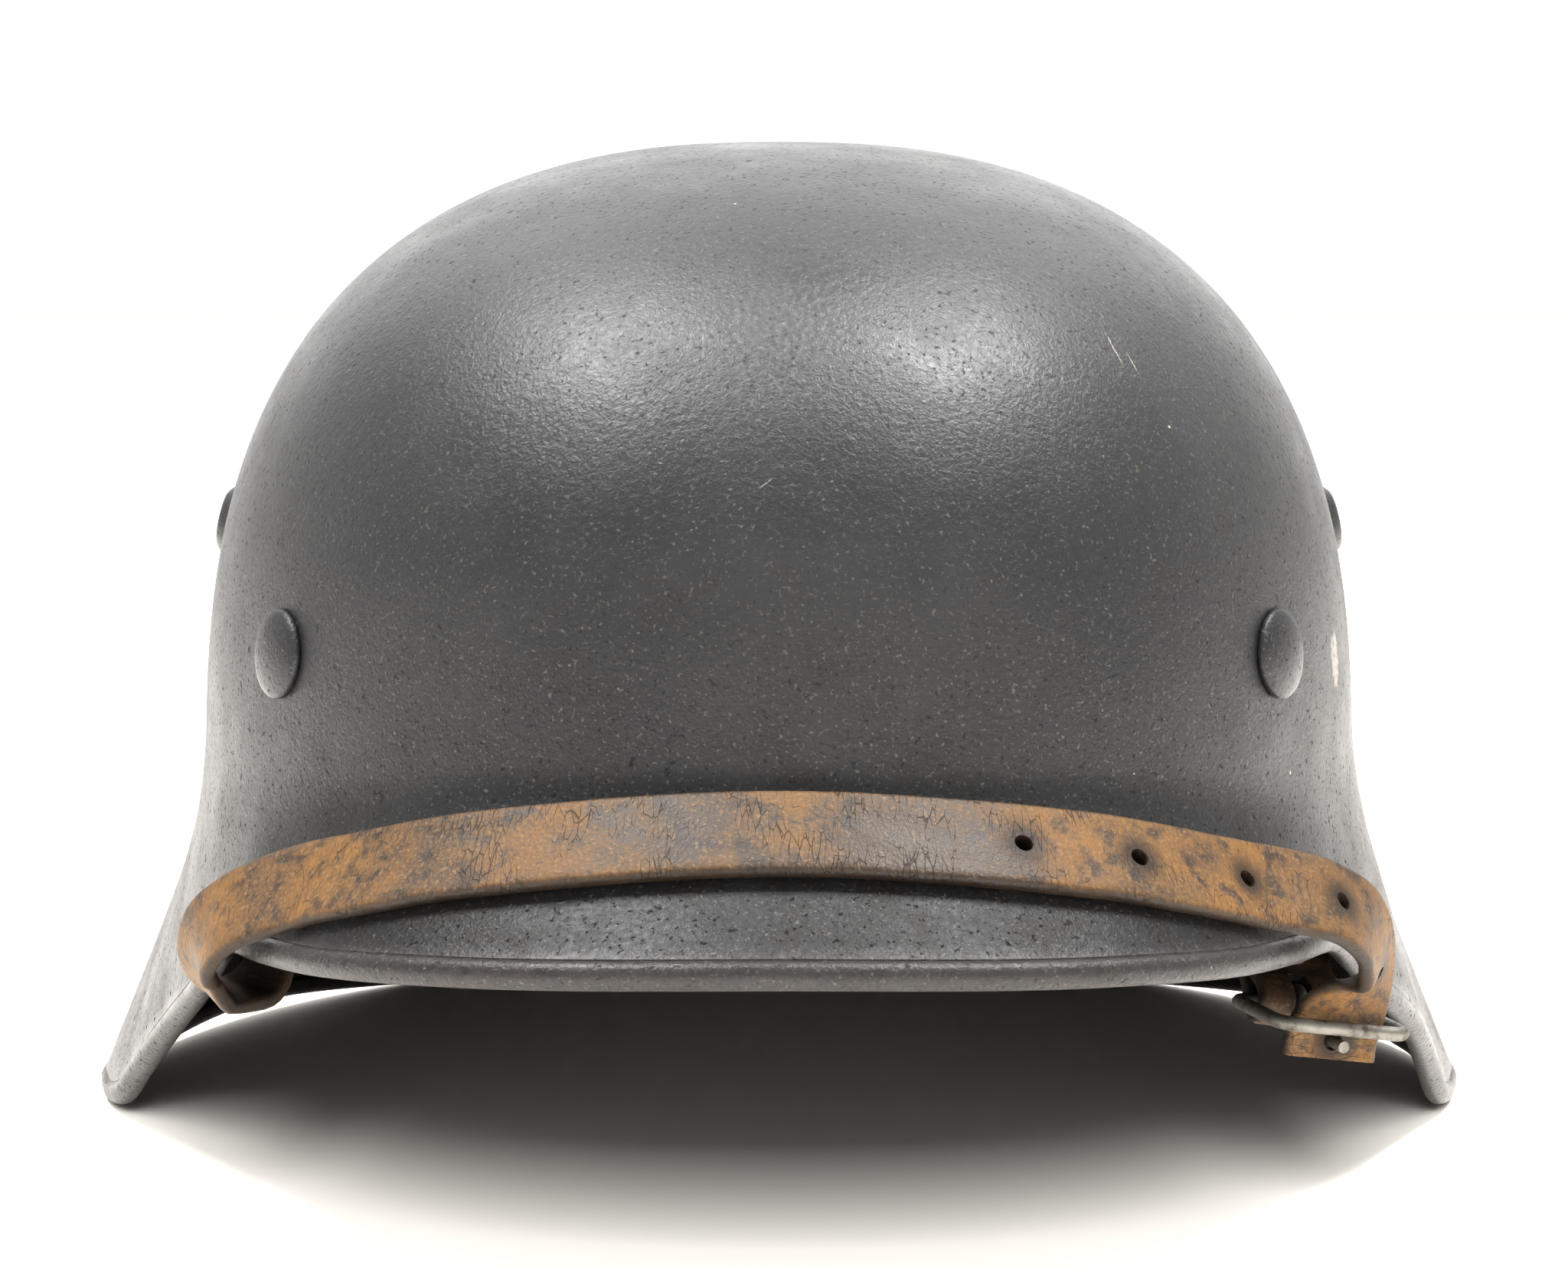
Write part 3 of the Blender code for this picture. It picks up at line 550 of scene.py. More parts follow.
@dataclass
class Shell:
    """The pressed sheet with its rolled rim and stamped vents."""

    form: HelmetForm
    around_count: int = 288
    vent_height: float = 0.1030
    vent_azimuth: float = 92
    vent_foot: float = 0.0072
    vent_rise: float = 0.0025
    vent_profile: tuple[tuple[float, float], ...] = (
        (1.03, -0.20), (1.03, 0.02), (0.96, 0.07), (0.87, 0.28), (0.77, 0.58), (0.68, 0.82), (0.60, 0.95),
        (0.52, 1.00), (0.44, 0.99), (0.38, 0.92), (0.345, 0.80), (0.333, 0.64), (0.345, 0.52), (0.50, 0.50),
        (0.62, 0.34), (0.72, 0.06), (0.80, -0.24), (0.86, -0.38), (1.03, -0.38),
    )
    rivet_hole: float = RIVET_HOLE

    def build(self, rivet_places: Sequence[tuple[float, float]]) -> Object:
        """Models the shell.

        Args:
            rivet_places: Azimuth and height of each rivet.

        Returns:
            The shell, with a rim_wear attribute that is 1 on the rolled edge.
        """
        form = self.form
        sections = [form.section(360 * k / self.around_count) for k in range(self.around_count)]
        rows = len(sections[0]) - 1

        def outside(u: float, v: float) -> Vector:
            """The outside face at a share round the helmet and a share down its section."""
            step = round(u * self.around_count) % self.around_count
            point = sections[step][round(v * rows)]
            return around(360 * step / self.around_count, point.x, point.y)

        shell = shaped_grid("helmet_shell", self.around_count, rows, outside)
        wall = shell.modifiers.new("wall", "SOLIDIFY")
        wall.thickness = form.sheet
        wall.offset = -1
        wall.use_even_offset = True
        apply_modifiers(shell)
        self.cut_openings(shell, rivet_places)
        self.add_vents(shell)
        self.mark_rim(shell)
        return shell

    def cut_openings(self, shell: Object, rivet_places: Sequence[tuple[float, float]]) -> None:
        """Cuts the rivets' holes and the places of the vents."""
        form = self.form
        cuts = [(*place, self.rivet_hole) for place in rivet_places]
        cuts += [(side.value * self.vent_azimuth, self.vent_height, 0.92 * self.vent_foot) for side in Side]
        tools = [drill(radius, 6 * form.sheet, form.surface_frame(*place), 64) for *place, radius in cuts]
        combine(shell, tools, "DIFFERENCE")

    def add_vents(self, shell: Object) -> None:
        """Melts the two stamped vents into the wall."""
        profile = [(radius * self.vent_foot, rise * self.vent_rise) for radius, rise in self.vent_profile]
        vents = []
        for side in Side:
            azimuth = side.value * self.vent_azimuth
            vent = turned(f"vent_{side.name.lower()}", [*profile, profile[0]], 64)
            for vertex in vent.data.vertices:
                vertex.co = self.form.on_dome(azimuth, self.vent_height, vertex.co)
            vents.append(vent)
        combine(shell, vents, "UNION")

    def mark_rim(self, shell: Object) -> None:
        """Stores how near each point is to the rolled edge, where the paint is worn."""
        form = self.form
        tree = kdtree.KDTree(self.around_count)
        for k in range(self.around_count):
            azimuth = 360 * k / self.around_count
            centre = form.bead_centre(azimuth)
            tree.insert(around(azimuth, centre.x, centre.y), k)
        tree.balance()
        worn = shell.data.attributes.new("rim_wear", "FLOAT", "POINT")
        for vertex in shell.data.vertices:
            _, _, far = tree.find(vertex.co)
            share = min(1.0, max(0.0, 1 - (far - form.bead_radius) / (0.6 * form.bead_radius)))
            worn.data[vertex.index].value = share


@dataclass
class Rivet:
    """A domed split rivet whose two prongs are bent flat behind the liner band."""

    form: HelmetForm
    name: str
    azimuth: float
    height: float = RIVET_HEIGHT
    head: float = 0.0068
    dome: float = 0.0024
    shank: float = 0.0020
    prong_length: float = 0.0065
    prong_width: float = 0.0034
    prong_thickness: float = 0.0008
    reach: float = 0.0053

    def build(self) -> Object:
        """Models the head, wrapped to the wall, with its shank and prongs.

        Returns:
            The rivet.
        """
        turns = [math.radians(d) for d in (4, 10, 18, 27, 36, 45, 54, 63, 71, 78, 84, 89)]
        head = [(math.sin(a), 0.24 + 0.76 * math.cos(a)) for a in turns]
        head += [(1.0, 0.14), (0.985, 0.06), (0.96, 0.04)]
        profile = [(self.head * out, self.dome * up) for out, up in head]
        profile += [(self.shank, 0.04 * self.dome), (self.shank, -self.reach)]
        rivet = turned(self.name, profile, 72)
        for vertex in rivet.data.vertices:
            vertex.co = self.form.on_dome(self.azimuth, self.height, vertex.co)
        place = self.form.surface_frame(self.azimuth, self.height)
        deselect()
        size = (self.prong_width, 2 * self.prong_length, self.prong_thickness)
        bpy.ops.mesh.primitive_cube_add(size=1, scale=size)
        prongs = bpy.context.object
        bpy.ops.object.transform_apply(location=False, rotation=False, scale=True)
        edge = prongs.modifiers.new("edge", "BEVEL")
        edge.width = 0.3 * self.prong_thickness
        edge.segments = 2
        apply_modifiers(prongs)
        prongs.data.transform(place @ Matrix.Translation((0, 0, -self.reach)))
        combine(rivet, [prongs], "UNION")
        return rivet


@dataclass
class LinerBand:
    """The steel band inside the wall, with a wire loop for each end of the chin strap."""

    form: HelmetForm
    height: float = RIVET_HEIGHT
    width: float = 0.0180
    thickness: float = 0.0010
    gap: float = 0.0025
    loop_wire: float = 0.0010
    loop_width: float = 0.0190
    loop_drop: float = 0.0110
    loop_azimuth: float = 64
    loop_lean: float = math.radians(10)
    loop_leg: float = 0.0040
    left_slant: float = math.radians(40)
    right_slant: float = math.radians(25)
    rivet_hole: float = RIVET_HOLE
    around_count: int = 240

    def loop_place(self, side: Side) -> Matrix:
        """The bar of a strap loop, with x along the bar, y down the strap and z out to the wall."""
        depth = self.form.sheet + self.gap + self.thickness / 2
        band = self.form.surface_frame(side.value * self.loop_azimuth, self.height - self.width / 2, depth)
        outward = band.to_3x3() @ Vector((0, 0, 1))
        forward = (Vector((0, -1, 0)) + outward * outward.y).normalized()
        below = Vector((0, 0, -math.cos(self.loop_lean))) - outward * math.sin(self.loop_lean)
        slant = self.left_slant if side is Side.LEFT else self.right_slant
        down = (below * math.cos(slant) + forward * math.sin(slant)).normalized()
        level = down.cross(outward).normalized()
        return framed(band.translation + down * self.loop_drop, level, down, level.cross(down))

    def build(self, rivet_azimuths: Sequence[float]) -> Object:
        """Models the band with its rolled edges, holes and loops.

        Args:
            rivet_azimuths: Where the rivets pass.

        Returns:
            The band.
        """
        half, edge = self.width / 2, self.thickness / 2
        top = [(-edge, half - edge), (-0.6 * edge, half - 0.2 * edge), (0.0, half)]
        top += [(0.6 * edge, half - 0.2 * edge), (edge, half - edge), (edge, 0.33 * half)]
        ring = [*top, (edge, -0.33 * half)]
        ring += [(-out, -up) for out, up in top[:5]]
        ring += [(-edge, -0.33 * half), (-edge, 0.33 * half)]
        depth = self.form.sheet + self.gap + edge

        def skin(u: float, v: float) -> Vector:
            """The band's skin round the helmet and round its own section."""
            outward, up = ring[round(v * len(ring)) % len(ring)]
            height = self.height + up
            return around(360 * u, self.form.dome_radius(360 * u, height) - depth + outward, height)

        band = shaped_grid("band", self.around_count, len(ring), skin)
        places = [self.form.surface_frame(azimuth, self.height, depth) for azimuth in rivet_azimuths]
        holes = [drill(self.rivet_hole, 6 * self.thickness, place, 32) for place in places]
        combine(band, holes, "DIFFERENCE")
        combine(band, [self.loop(side) for side in Side], "UNION")
        band.name = "liner_band_fine"
        return band

    def loop(self, side: Side) -> Object:
        """One wire loop, soldered to the band."""
        place = self.loop_place(side)
        half, top, round_off = self.loop_width / 2, -self.loop_drop - self.loop_leg, 2 * self.loop_wire
        first = arc(Vector((-half + round_off, -round_off)), round_off, math.pi, math.pi / 2, 7)
        last = arc(Vector((half - round_off, -round_off)), round_off, math.pi / 2, 0, 7)
        outline = [Vector((-half, top)), *first, *last, Vector((half, top))]
        path = [place @ point.to_3d() for point in outline]
        return wire(f"loop_{side.name.lower()}", path, self.loop_wire)


@dataclass
class Buckle:
    """A wire frame that the long strap passes through, and its prong."""

    wire_radius: float = 0.0011
    width: float = 0.0210
    depth: float = 0.0180
    corner: float = 0.0026
    centre: tuple[float, float, float] = (0.0822, -0.0758, 0.0349)
    tilt: float = math.radians(9)
    turn: float = math.radians(17)
    tongue_wire: float = 0.0009
    climb: float = math.radians(36)

    def place(self) -> Matrix:
        """The buckle's frame, with x along its front wire, y back to its hinge and z up."""
        turn = Matrix.Rotation(self.turn, 4, "Z") @ Matrix.Rotation(self.tilt, 4, "Y")
        return Matrix.Translation(self.centre) @ turn

    def hinge_place(self) -> Matrix:
        """The hinge, with y along the short strap that leaves it."""
        return self.place() @ Matrix.Translation((0, self.depth / 2, 0)) @ Matrix.Rotation(self.climb, 4, "X")

    def tongue_tip(self) -> Vector:
        """End of the prong, under the front wire."""
        low = -self.wire_radius - SEAT - 1.3 * self.tongue_wire
        return Vector((0, -self.depth / 2 - 0.6 * self.wire_radius, low))

    def build_frame(self) -> Object:
        """Models the frame, a closed wire with round corners.

        Returns:
            The frame.
        """
        path = []
        for x, y, first in ((1, 1, 0), (-1, 1, 90), (-1, -1, 180), (1, -1, 270)):
            middle = Vector((x * (self.width / 2 - self.corner), y * (self.depth / 2 - self.corner)))
            path += arc(middle, self.corner, math.radians(first), math.radians(first + 90), 9)
        path = [self.place() @ point.to_3d() for point in path]
        return wire("buckle_frame_fine", path, self.wire_radius, closed=True)

    def build_tongue(self) -> Object:
        """Models the prong, with its eye round the hinge.

        Returns:
            The prong.
        """
        ring = self.wire_radius + SEAT + self.tongue_wire
        hinge = Vector((0, self.depth / 2, 0))
        turns = [math.radians(a) for a in range(200, -92, -10)]
        path = [hinge + ring * Vector((0, math.cos(a), math.sin(a))) for a in turns]
        path += [Vector((0, self.depth / 2 - 1.2 * ring, -ring)), self.tongue_tip()]
        return wire("buckle_tongue_fine", [self.place() @ point for point in path], self.tongue_wire)


class Route:
    """A smooth curve through the knots of a strap, with the direction of the strap's outer face."""

    step = 0.0006

    def __init__(self, knots: Sequence[Knot]) -> None:
        """Reads the curve at closely spaced points.

        Args:
            knots: Middle of the strap and outer face's direction at each knot.
        """
        gaps = [(after[0] - before[0]).length for before, after in zip(knots, knots[1:])]
        slopes = []
        for i in range(len(knots)):
            before, after = max(0, i - 1), min(len(gaps) - 1, i)
            steps = [[(knots[k + 1][c] - knots[k][c]) / gaps[k] for c in (0, 1)] for k in (before, after)]
            share = gaps[before] / (gaps[before] + gaps[after])
            slopes.append([steps[0][c].lerp(steps[1][c], share) for c in (0, 1)])
        self.points: list[Vector] = []
        self.faces: list[Vector] = []
        for i, gap in enumerate(gaps):
            count = math.ceil(gap / self.step)
            for k in range(count):
                for c, reading in enumerate((self.points, self.faces)):
                    first, last = (knots[i][c], slopes[i][c]), (knots[i + 1][c], slopes[i + 1][c])
                    reading.append(eased(k / count, gap, first, last))
        self.points.append(Vector(knots[-1][0]))
        self.faces.append(Vector(knots[-1][1]))
        self.total = [0.0]
        for before, after in zip(self.points, self.points[1:]):
            self.total.append(self.total[-1] + (after - before).length)
        self.tree = kdtree.KDTree(len(self.points))
        for i, point in enumerate(self.points):
            self.tree.insert(point, i)
        self.tree.balance()

    @property
    def length(self) -> float:
        """Length of the whole curve."""
        return self.total[-1]

    def frame(self, distance: float) -> Matrix:
        """The strap's frame at a distance along it, with x along it and z out of its face."""
        i = min(bisect_right(self.total, distance), len(self.total) - 1) - 1
        t = (distance - self.total[i]) / (self.total[i + 1] - self.total[i])
        point = self.points[i].lerp(self.points[i + 1], t)
        outward = self.faces[i].lerp(self.faces[i + 1], t)
        along = self.points[i + 1] - self.points[i]
        return frame_at(point, along, outward - along * outward.dot(along) / along.length_squared)

    def distance_to(self, point: Vector) -> float:
        """Distance along the curve to its point nearest to this one."""
        return self.total[self.tree.find(point)[1]]

    def read(self, point: Vector) -> Vector:
        """Where a point of the strap lies: across it, along it and up from its middle."""
        distance = self.distance_to(point)
        local = self.frame(distance).inverted() @ point
        return Vector((local.y, distance + local.x, local.z))


def bar_knots(place: Matrix, bar_radius: float, thickness: float, face: int) -> list[Knot]:
    """Knots of a strap end that is folded round a bar, from the folded-back end.

    Args:
        place: The bar, with x along it, y along the strap and z to the strap's side.
        bar_radius: Of the bar.
        thickness: Of the leather.
        face: 1 where the strap's outer face looks away from the bar, -1 where it looks to it.

    Returns:
        The knots.
    """
    around_bar = bar_radius + SEAT + thickness / 2
    flat = thickness / 2 + SEAT / 2
    outline = [(END_TAIL, -flat, -90), (END_STUD, -flat, -90), (0.65 * END_STUD, -flat, -90)]
    for turn in (-75, -115, -155, 165, 125, 75):
        a = math.radians(turn)
        outline.append((around_bar * math.cos(a), around_bar * math.sin(a), turn))
    outline += [(0.65 * END_STUD, flat, 90), (END_STUD, flat, 90), (1.15 * END_TAIL, flat, 90)]
    knots = []
    for out, up, turn in outline:
        a = math.radians(turn)
        normal = face * (place.to_3x3() @ Vector((0, math.cos(a), math.sin(a))))
        knots.append((place @ Vector((0, out, up)), normal))
    return knots


@dataclass
class LeatherStrap:
    """A flat leather strap along its route, with worn edges, punched holes and a slot for a prong."""

    name: str
    route: Route
    thickness: float
    width: float = STRAP_WIDTH
    hole_radius: float = 0.0014
    dish_radius: float = 0.0034
    dish_depth: float = 0.00022
    station: float = 0.0011
    flat_faces: int = 12
    edge_faces: int = 5
    fray: float = 0.00028
    swell: float = 0.00012
    seed: float = 0.0

    def outline(self) -> list[tuple[float, float, float]]:
        """The strap's section as places across and up, each with how much of it is the outer face."""
        half, edge = self.width / 2, self.thickness / 2
        soft = 0.42 * self.thickness
        face = (self.width - 2 * soft) / self.flat_faces
        top = [(half - soft - face * k, edge, 1.0) for k in range(self.flat_faces + 1)]
        turns = [math.pi / 2 + math.pi * k / (self.edge_faces + 1) for k in range(1, self.edge_faces + 1)]
        side = [(-half + soft + soft * math.cos(a), edge * math.sin(a), max(0.0, math.sin(a))) for a in turns]
        bottom = [(-across, -edge, 0.0) for across, _, _ in top]
        other = [(-across, up, max(0.0, up / edge)) for across, up, _ in reversed(side)]
        return [*top, *side, *bottom, *other]

    def build(self, holes: Sequence[float], cutters: Sequence[Object]) -> Object:
        """Models the strap.

        Args:
            holes: Distances of its punched holes along its route.
            cutters: Other shapes to cut away.

        Returns:
            The strap, with a leather_place attribute across, along and up it, and hole_wear near its holes.
        """
        outline = self.outline()
        count = len(outline)
        steps = round(self.route.length / self.station)
        frames = [self.route.frame(self.route.length * 0.999999 * k / steps) for k in range(steps + 1)]

        def skin(u: float, v: float) -> Vector:
            """The strap's skin along its route and round its section."""
            step = round(u * steps)
            across, up, outer = outline[round(v * count) % count]
            distance = self.route.length * step / steps
            return frames[step] @ self.worn(distance, across, up, outer, holes)

        strap = shaped_grid(self.name, steps, count, skin)
        self.close_ends(strap)
        depth = 4 * self.thickness
        punched = [drill(self.hole_radius, depth, self.route.frame(distance), 40) for distance in holes]
        combine(strap, [*cutters, *punched], "DIFFERENCE")
        self.mark(strap, holes)
        return strap

    def worn(self, distance: float, across: float, up: float, outer: float, holes: Sequence[float]) -> Vector:
        """A point of the section after the leather has frayed at its edges and sunk at its holes."""
        side = across / (self.width / 2)
        seat = Vector((distance * 90, side + self.seed, 0))
        nick = max(0.0, noise.noise(Vector((distance * 420, 3 * side + self.seed, 5)))) ** 2
        narrow = self.fray * (0.5 + 0.5 * noise.noise(seat) + 1.3 * nick) * abs(side) ** 6
        swollen = self.swell * noise.noise(Vector((distance * 160, across * 260 + self.seed, 2)))
        sunk = 0.0
        for hole in holes:
            away = math.hypot(distance - hole, across) / self.dish_radius
            sunk = max(sunk, self.dish_depth * (1 - away) ** 2 if away < 1 else 0.0)
        return Vector((0, across - math.copysign(narrow, side), up + outer * (swollen - sunk)))

    def close_ends(self, strap: Object) -> None:
        """Fills the strap's two open ends."""
        take(strap)
        bpy.ops.object.mode_set(mode="EDIT")
        bpy.ops.mesh.select_all(action="DESELECT")
        bpy.ops.mesh.select_non_manifold()
        bpy.ops.mesh.edge_face_add()
        bpy.ops.object.mode_set(mode="OBJECT")
        close_seams(strap)

    def mark(self, strap: Object, holes: Sequence[float]) -> None:
        """Stores each point's place in the leather, and how near it is to a hole."""
        strap.data.attributes.new("leather_place", "FLOAT_VECTOR", "POINT")
        strap.data.attributes.new("hole_wear", "FLOAT", "POINT")
        place, wear = (strap.data.attributes[name] for name in ("leather_place", "hole_wear"))
        for vertex in strap.data.vertices:
            where = self.route.read(vertex.co)
            place.data[vertex.index].vector = where
            near = min((math.hypot(where.y - hole, where.x) for hole in holes), default=1.0)
            wear.data[vertex.index].value = max(0.0, 1 - near / (2 * self.dish_radius))


@dataclass
class Stud:
    """A flat rivet through both layers of a folded strap end."""

    name: str
    place: Matrix
    thickness: float
    distance: float = END_STUD
    head: float = 0.0032
    head_thickness: float = 0.0009
    shank: float = 0.0012
    play: float = 0.0003

    def middle(self) -> Matrix:
        """The stud's place, with z along it."""
        return self.place @ Matrix.Translation((0, self.distance, 0))

    def build(self) -> Object:
        """Models the stud with a rounded head on each side.

        Returns:
            The stud.
        """
        reach = self.thickness + 1.5 * SEAT
        turns = [math.radians(d) for d in (8, 24, 42, 60, 75, 86, 90)]
        crown = [(math.sin(a), 0.25 + 0.75 * math.cos(a)) for a in turns] + [(1.0, 0.08), (0.97, 0.0)]
        half = [(self.head * out, reach + self.head_thickness * up) for out, up in crown]
        half.append((self.shank, reach))
        profile = half + [(radius, -height) for radius, height in reversed(half)]
        stud = turned(self.name, profile, 40)
        stud.data.transform(self.middle())
        return stud

    def hole(self) -> Object:
        """A cutter for the stud's hole."""
        return drill(self.shank + self.play, 5 * self.thickness, self.middle(), 32)


@dataclass
class ChinStrap:
    """The long strap over the visor and the short one that carries the buckle."""

    form: HelmetForm
    band: LinerBand
    buckle: Buckle
    long_thickness: float = 0.0024
    short_thickness: float = 0.0020
    width: float = STRAP_WIDTH
    visor_share: float = 0.285
    visor_droop: float = 0.36
    droop_azimuth: float = 36
    lean: float = math.radians(4)
    slot_width: float = 0.0032
    holes: tuple[float, ...] = (0, 0.0130, 0.0312, 0.0490, 0.0700, 0.0882)
    left_turn: Rows = (
        ((-0.8254, -0.5923, 0.2583), (0.75, 0.45, -0.45)),
        ((-0.8623, -0.6652, 0.2354), (-0.15, -0.10, -0.98)),
        ((-0.9001, -0.7082, 0.2492), (-0.80, -0.50, -0.33)),
        ((-0.9064, -0.7451, 0.2853), (-0.84, -0.52, 0.15)),
        ((-0.8675, -0.7940, 0.3183), (-0.70, -0.52, 0.50)),
    )
    right_turn: Rows = (
        ((0.8728, -0.7983, 0.3315), (0.60, -0.55, 0.58)),
        ((0.9253, -0.7485, 0.3003), (0.86, -0.46, 0.25)),
        ((0.9390, -0.7193, 0.2673), (0.88, -0.46, 0.05)),
        ((0.9127, -0.7013, 0.2402), (0.66, -0.75, 0.00)),
        ((0.8906, -0.6944, 0.2174), (0.38, -0.93, 0.00)),
        ((0.8770, -0.6918, 0.2012), (0.24, -0.97, 0.00)),
        ((0.8707, -0.6918, 0.1784), (0.21, -0.98, 0.00)),
    )
    short_middle: Rows = (
        ((0.8307, -0.4464, 0.3123), (0.66, -0.74, 0.15)),
    )

    def hung(self, table: Rows) -> list[Knot]:
        """Knots of a table, whose places are shares of half the width, half the length and the height."""
        size = (self.form.dome_width / 2, self.form.dome_length / 2, self.form.crown_height)
        places = [Vector([share * full for share, full in zip(shares, size)]) for shares, _ in table]
        return [(place, Vector(row[1])) for place, row in zip(places, table)]

    def build_long(self) -> list[Object]:
        """Models the long strap and the stud of its folded end.

        Returns:
            The strap and the stud.
        """
        loop = self.band.loop_place(Side.LEFT)
        knots = bar_knots(loop, self.band.loop_wire, self.long_thickness, -1) + self.hung(self.left_turn)
        rise = SEAT + self.long_thickness / 2 + self.width / 2 * math.sin(self.lean)
        for azimuth in range(-34, 35, 4):
            share = self.visor_share + self.visor_droop * (azimuth / self.droop_azimuth) ** 2
            place = self.form.visor_frame(azimuth, share, rise) @ Matrix.Rotation(self.lean, 4, "X")
            knots.append((place.translation, place.to_3x3() @ Vector((0, 0, 1))))
        route = Route(knots + self.hung(self.right_turn))
        at_tongue = route.distance_to(self.buckle.place() @ self.buckle.tongue_tip())
        stud = Stud("stud_left", loop, self.long_thickness)
        strap = LeatherStrap("strap_long", route, self.long_thickness)
        return [strap.build([at_tongue - back for back in self.holes], [stud.hole()]), stud.build()]

    def build_short(self) -> list[Object]:
        """Models the short strap and the studs of its folded ends.

        Returns:
            The strap, the stud at the loop and the stud at the buckle.
        """
        above, below = self.band.loop_place(Side.RIGHT), self.buckle.hinge_place()
        knots = bar_knots(above, self.band.loop_wire, self.short_thickness, 1) + self.hung(self.short_middle)
        knots += reversed(bar_knots(below, self.buckle.wire_radius, self.short_thickness, 1))
        ends = {"stud_right": above, "stud_buckle": below}
        studs = [Stud(name, place, self.short_thickness) for name, place in ends.items()]
        radius = self.buckle.wire_radius + 2 * SEAT + self.short_thickness + self.buckle.tongue_wire
        slot = drill(radius, self.slot_width, below @ Matrix.Rotation(math.radians(90), 4, "Y"), 48)
        strap = LeatherStrap("strap_short", Route(knots), self.short_thickness, seed=7.0)
        return [strap.build([], [slot, *(stud.hole() for stud in studs)]), *(stud.build() for stud in studs)]


@dataclass(frozen=True)
class Patch:
    """A small patch of the shell's skin: its middle, its turn in degrees, its half width and half length."""

    azimuth: float
    height: float
    turn: float
    half_width: float
    half_length: float


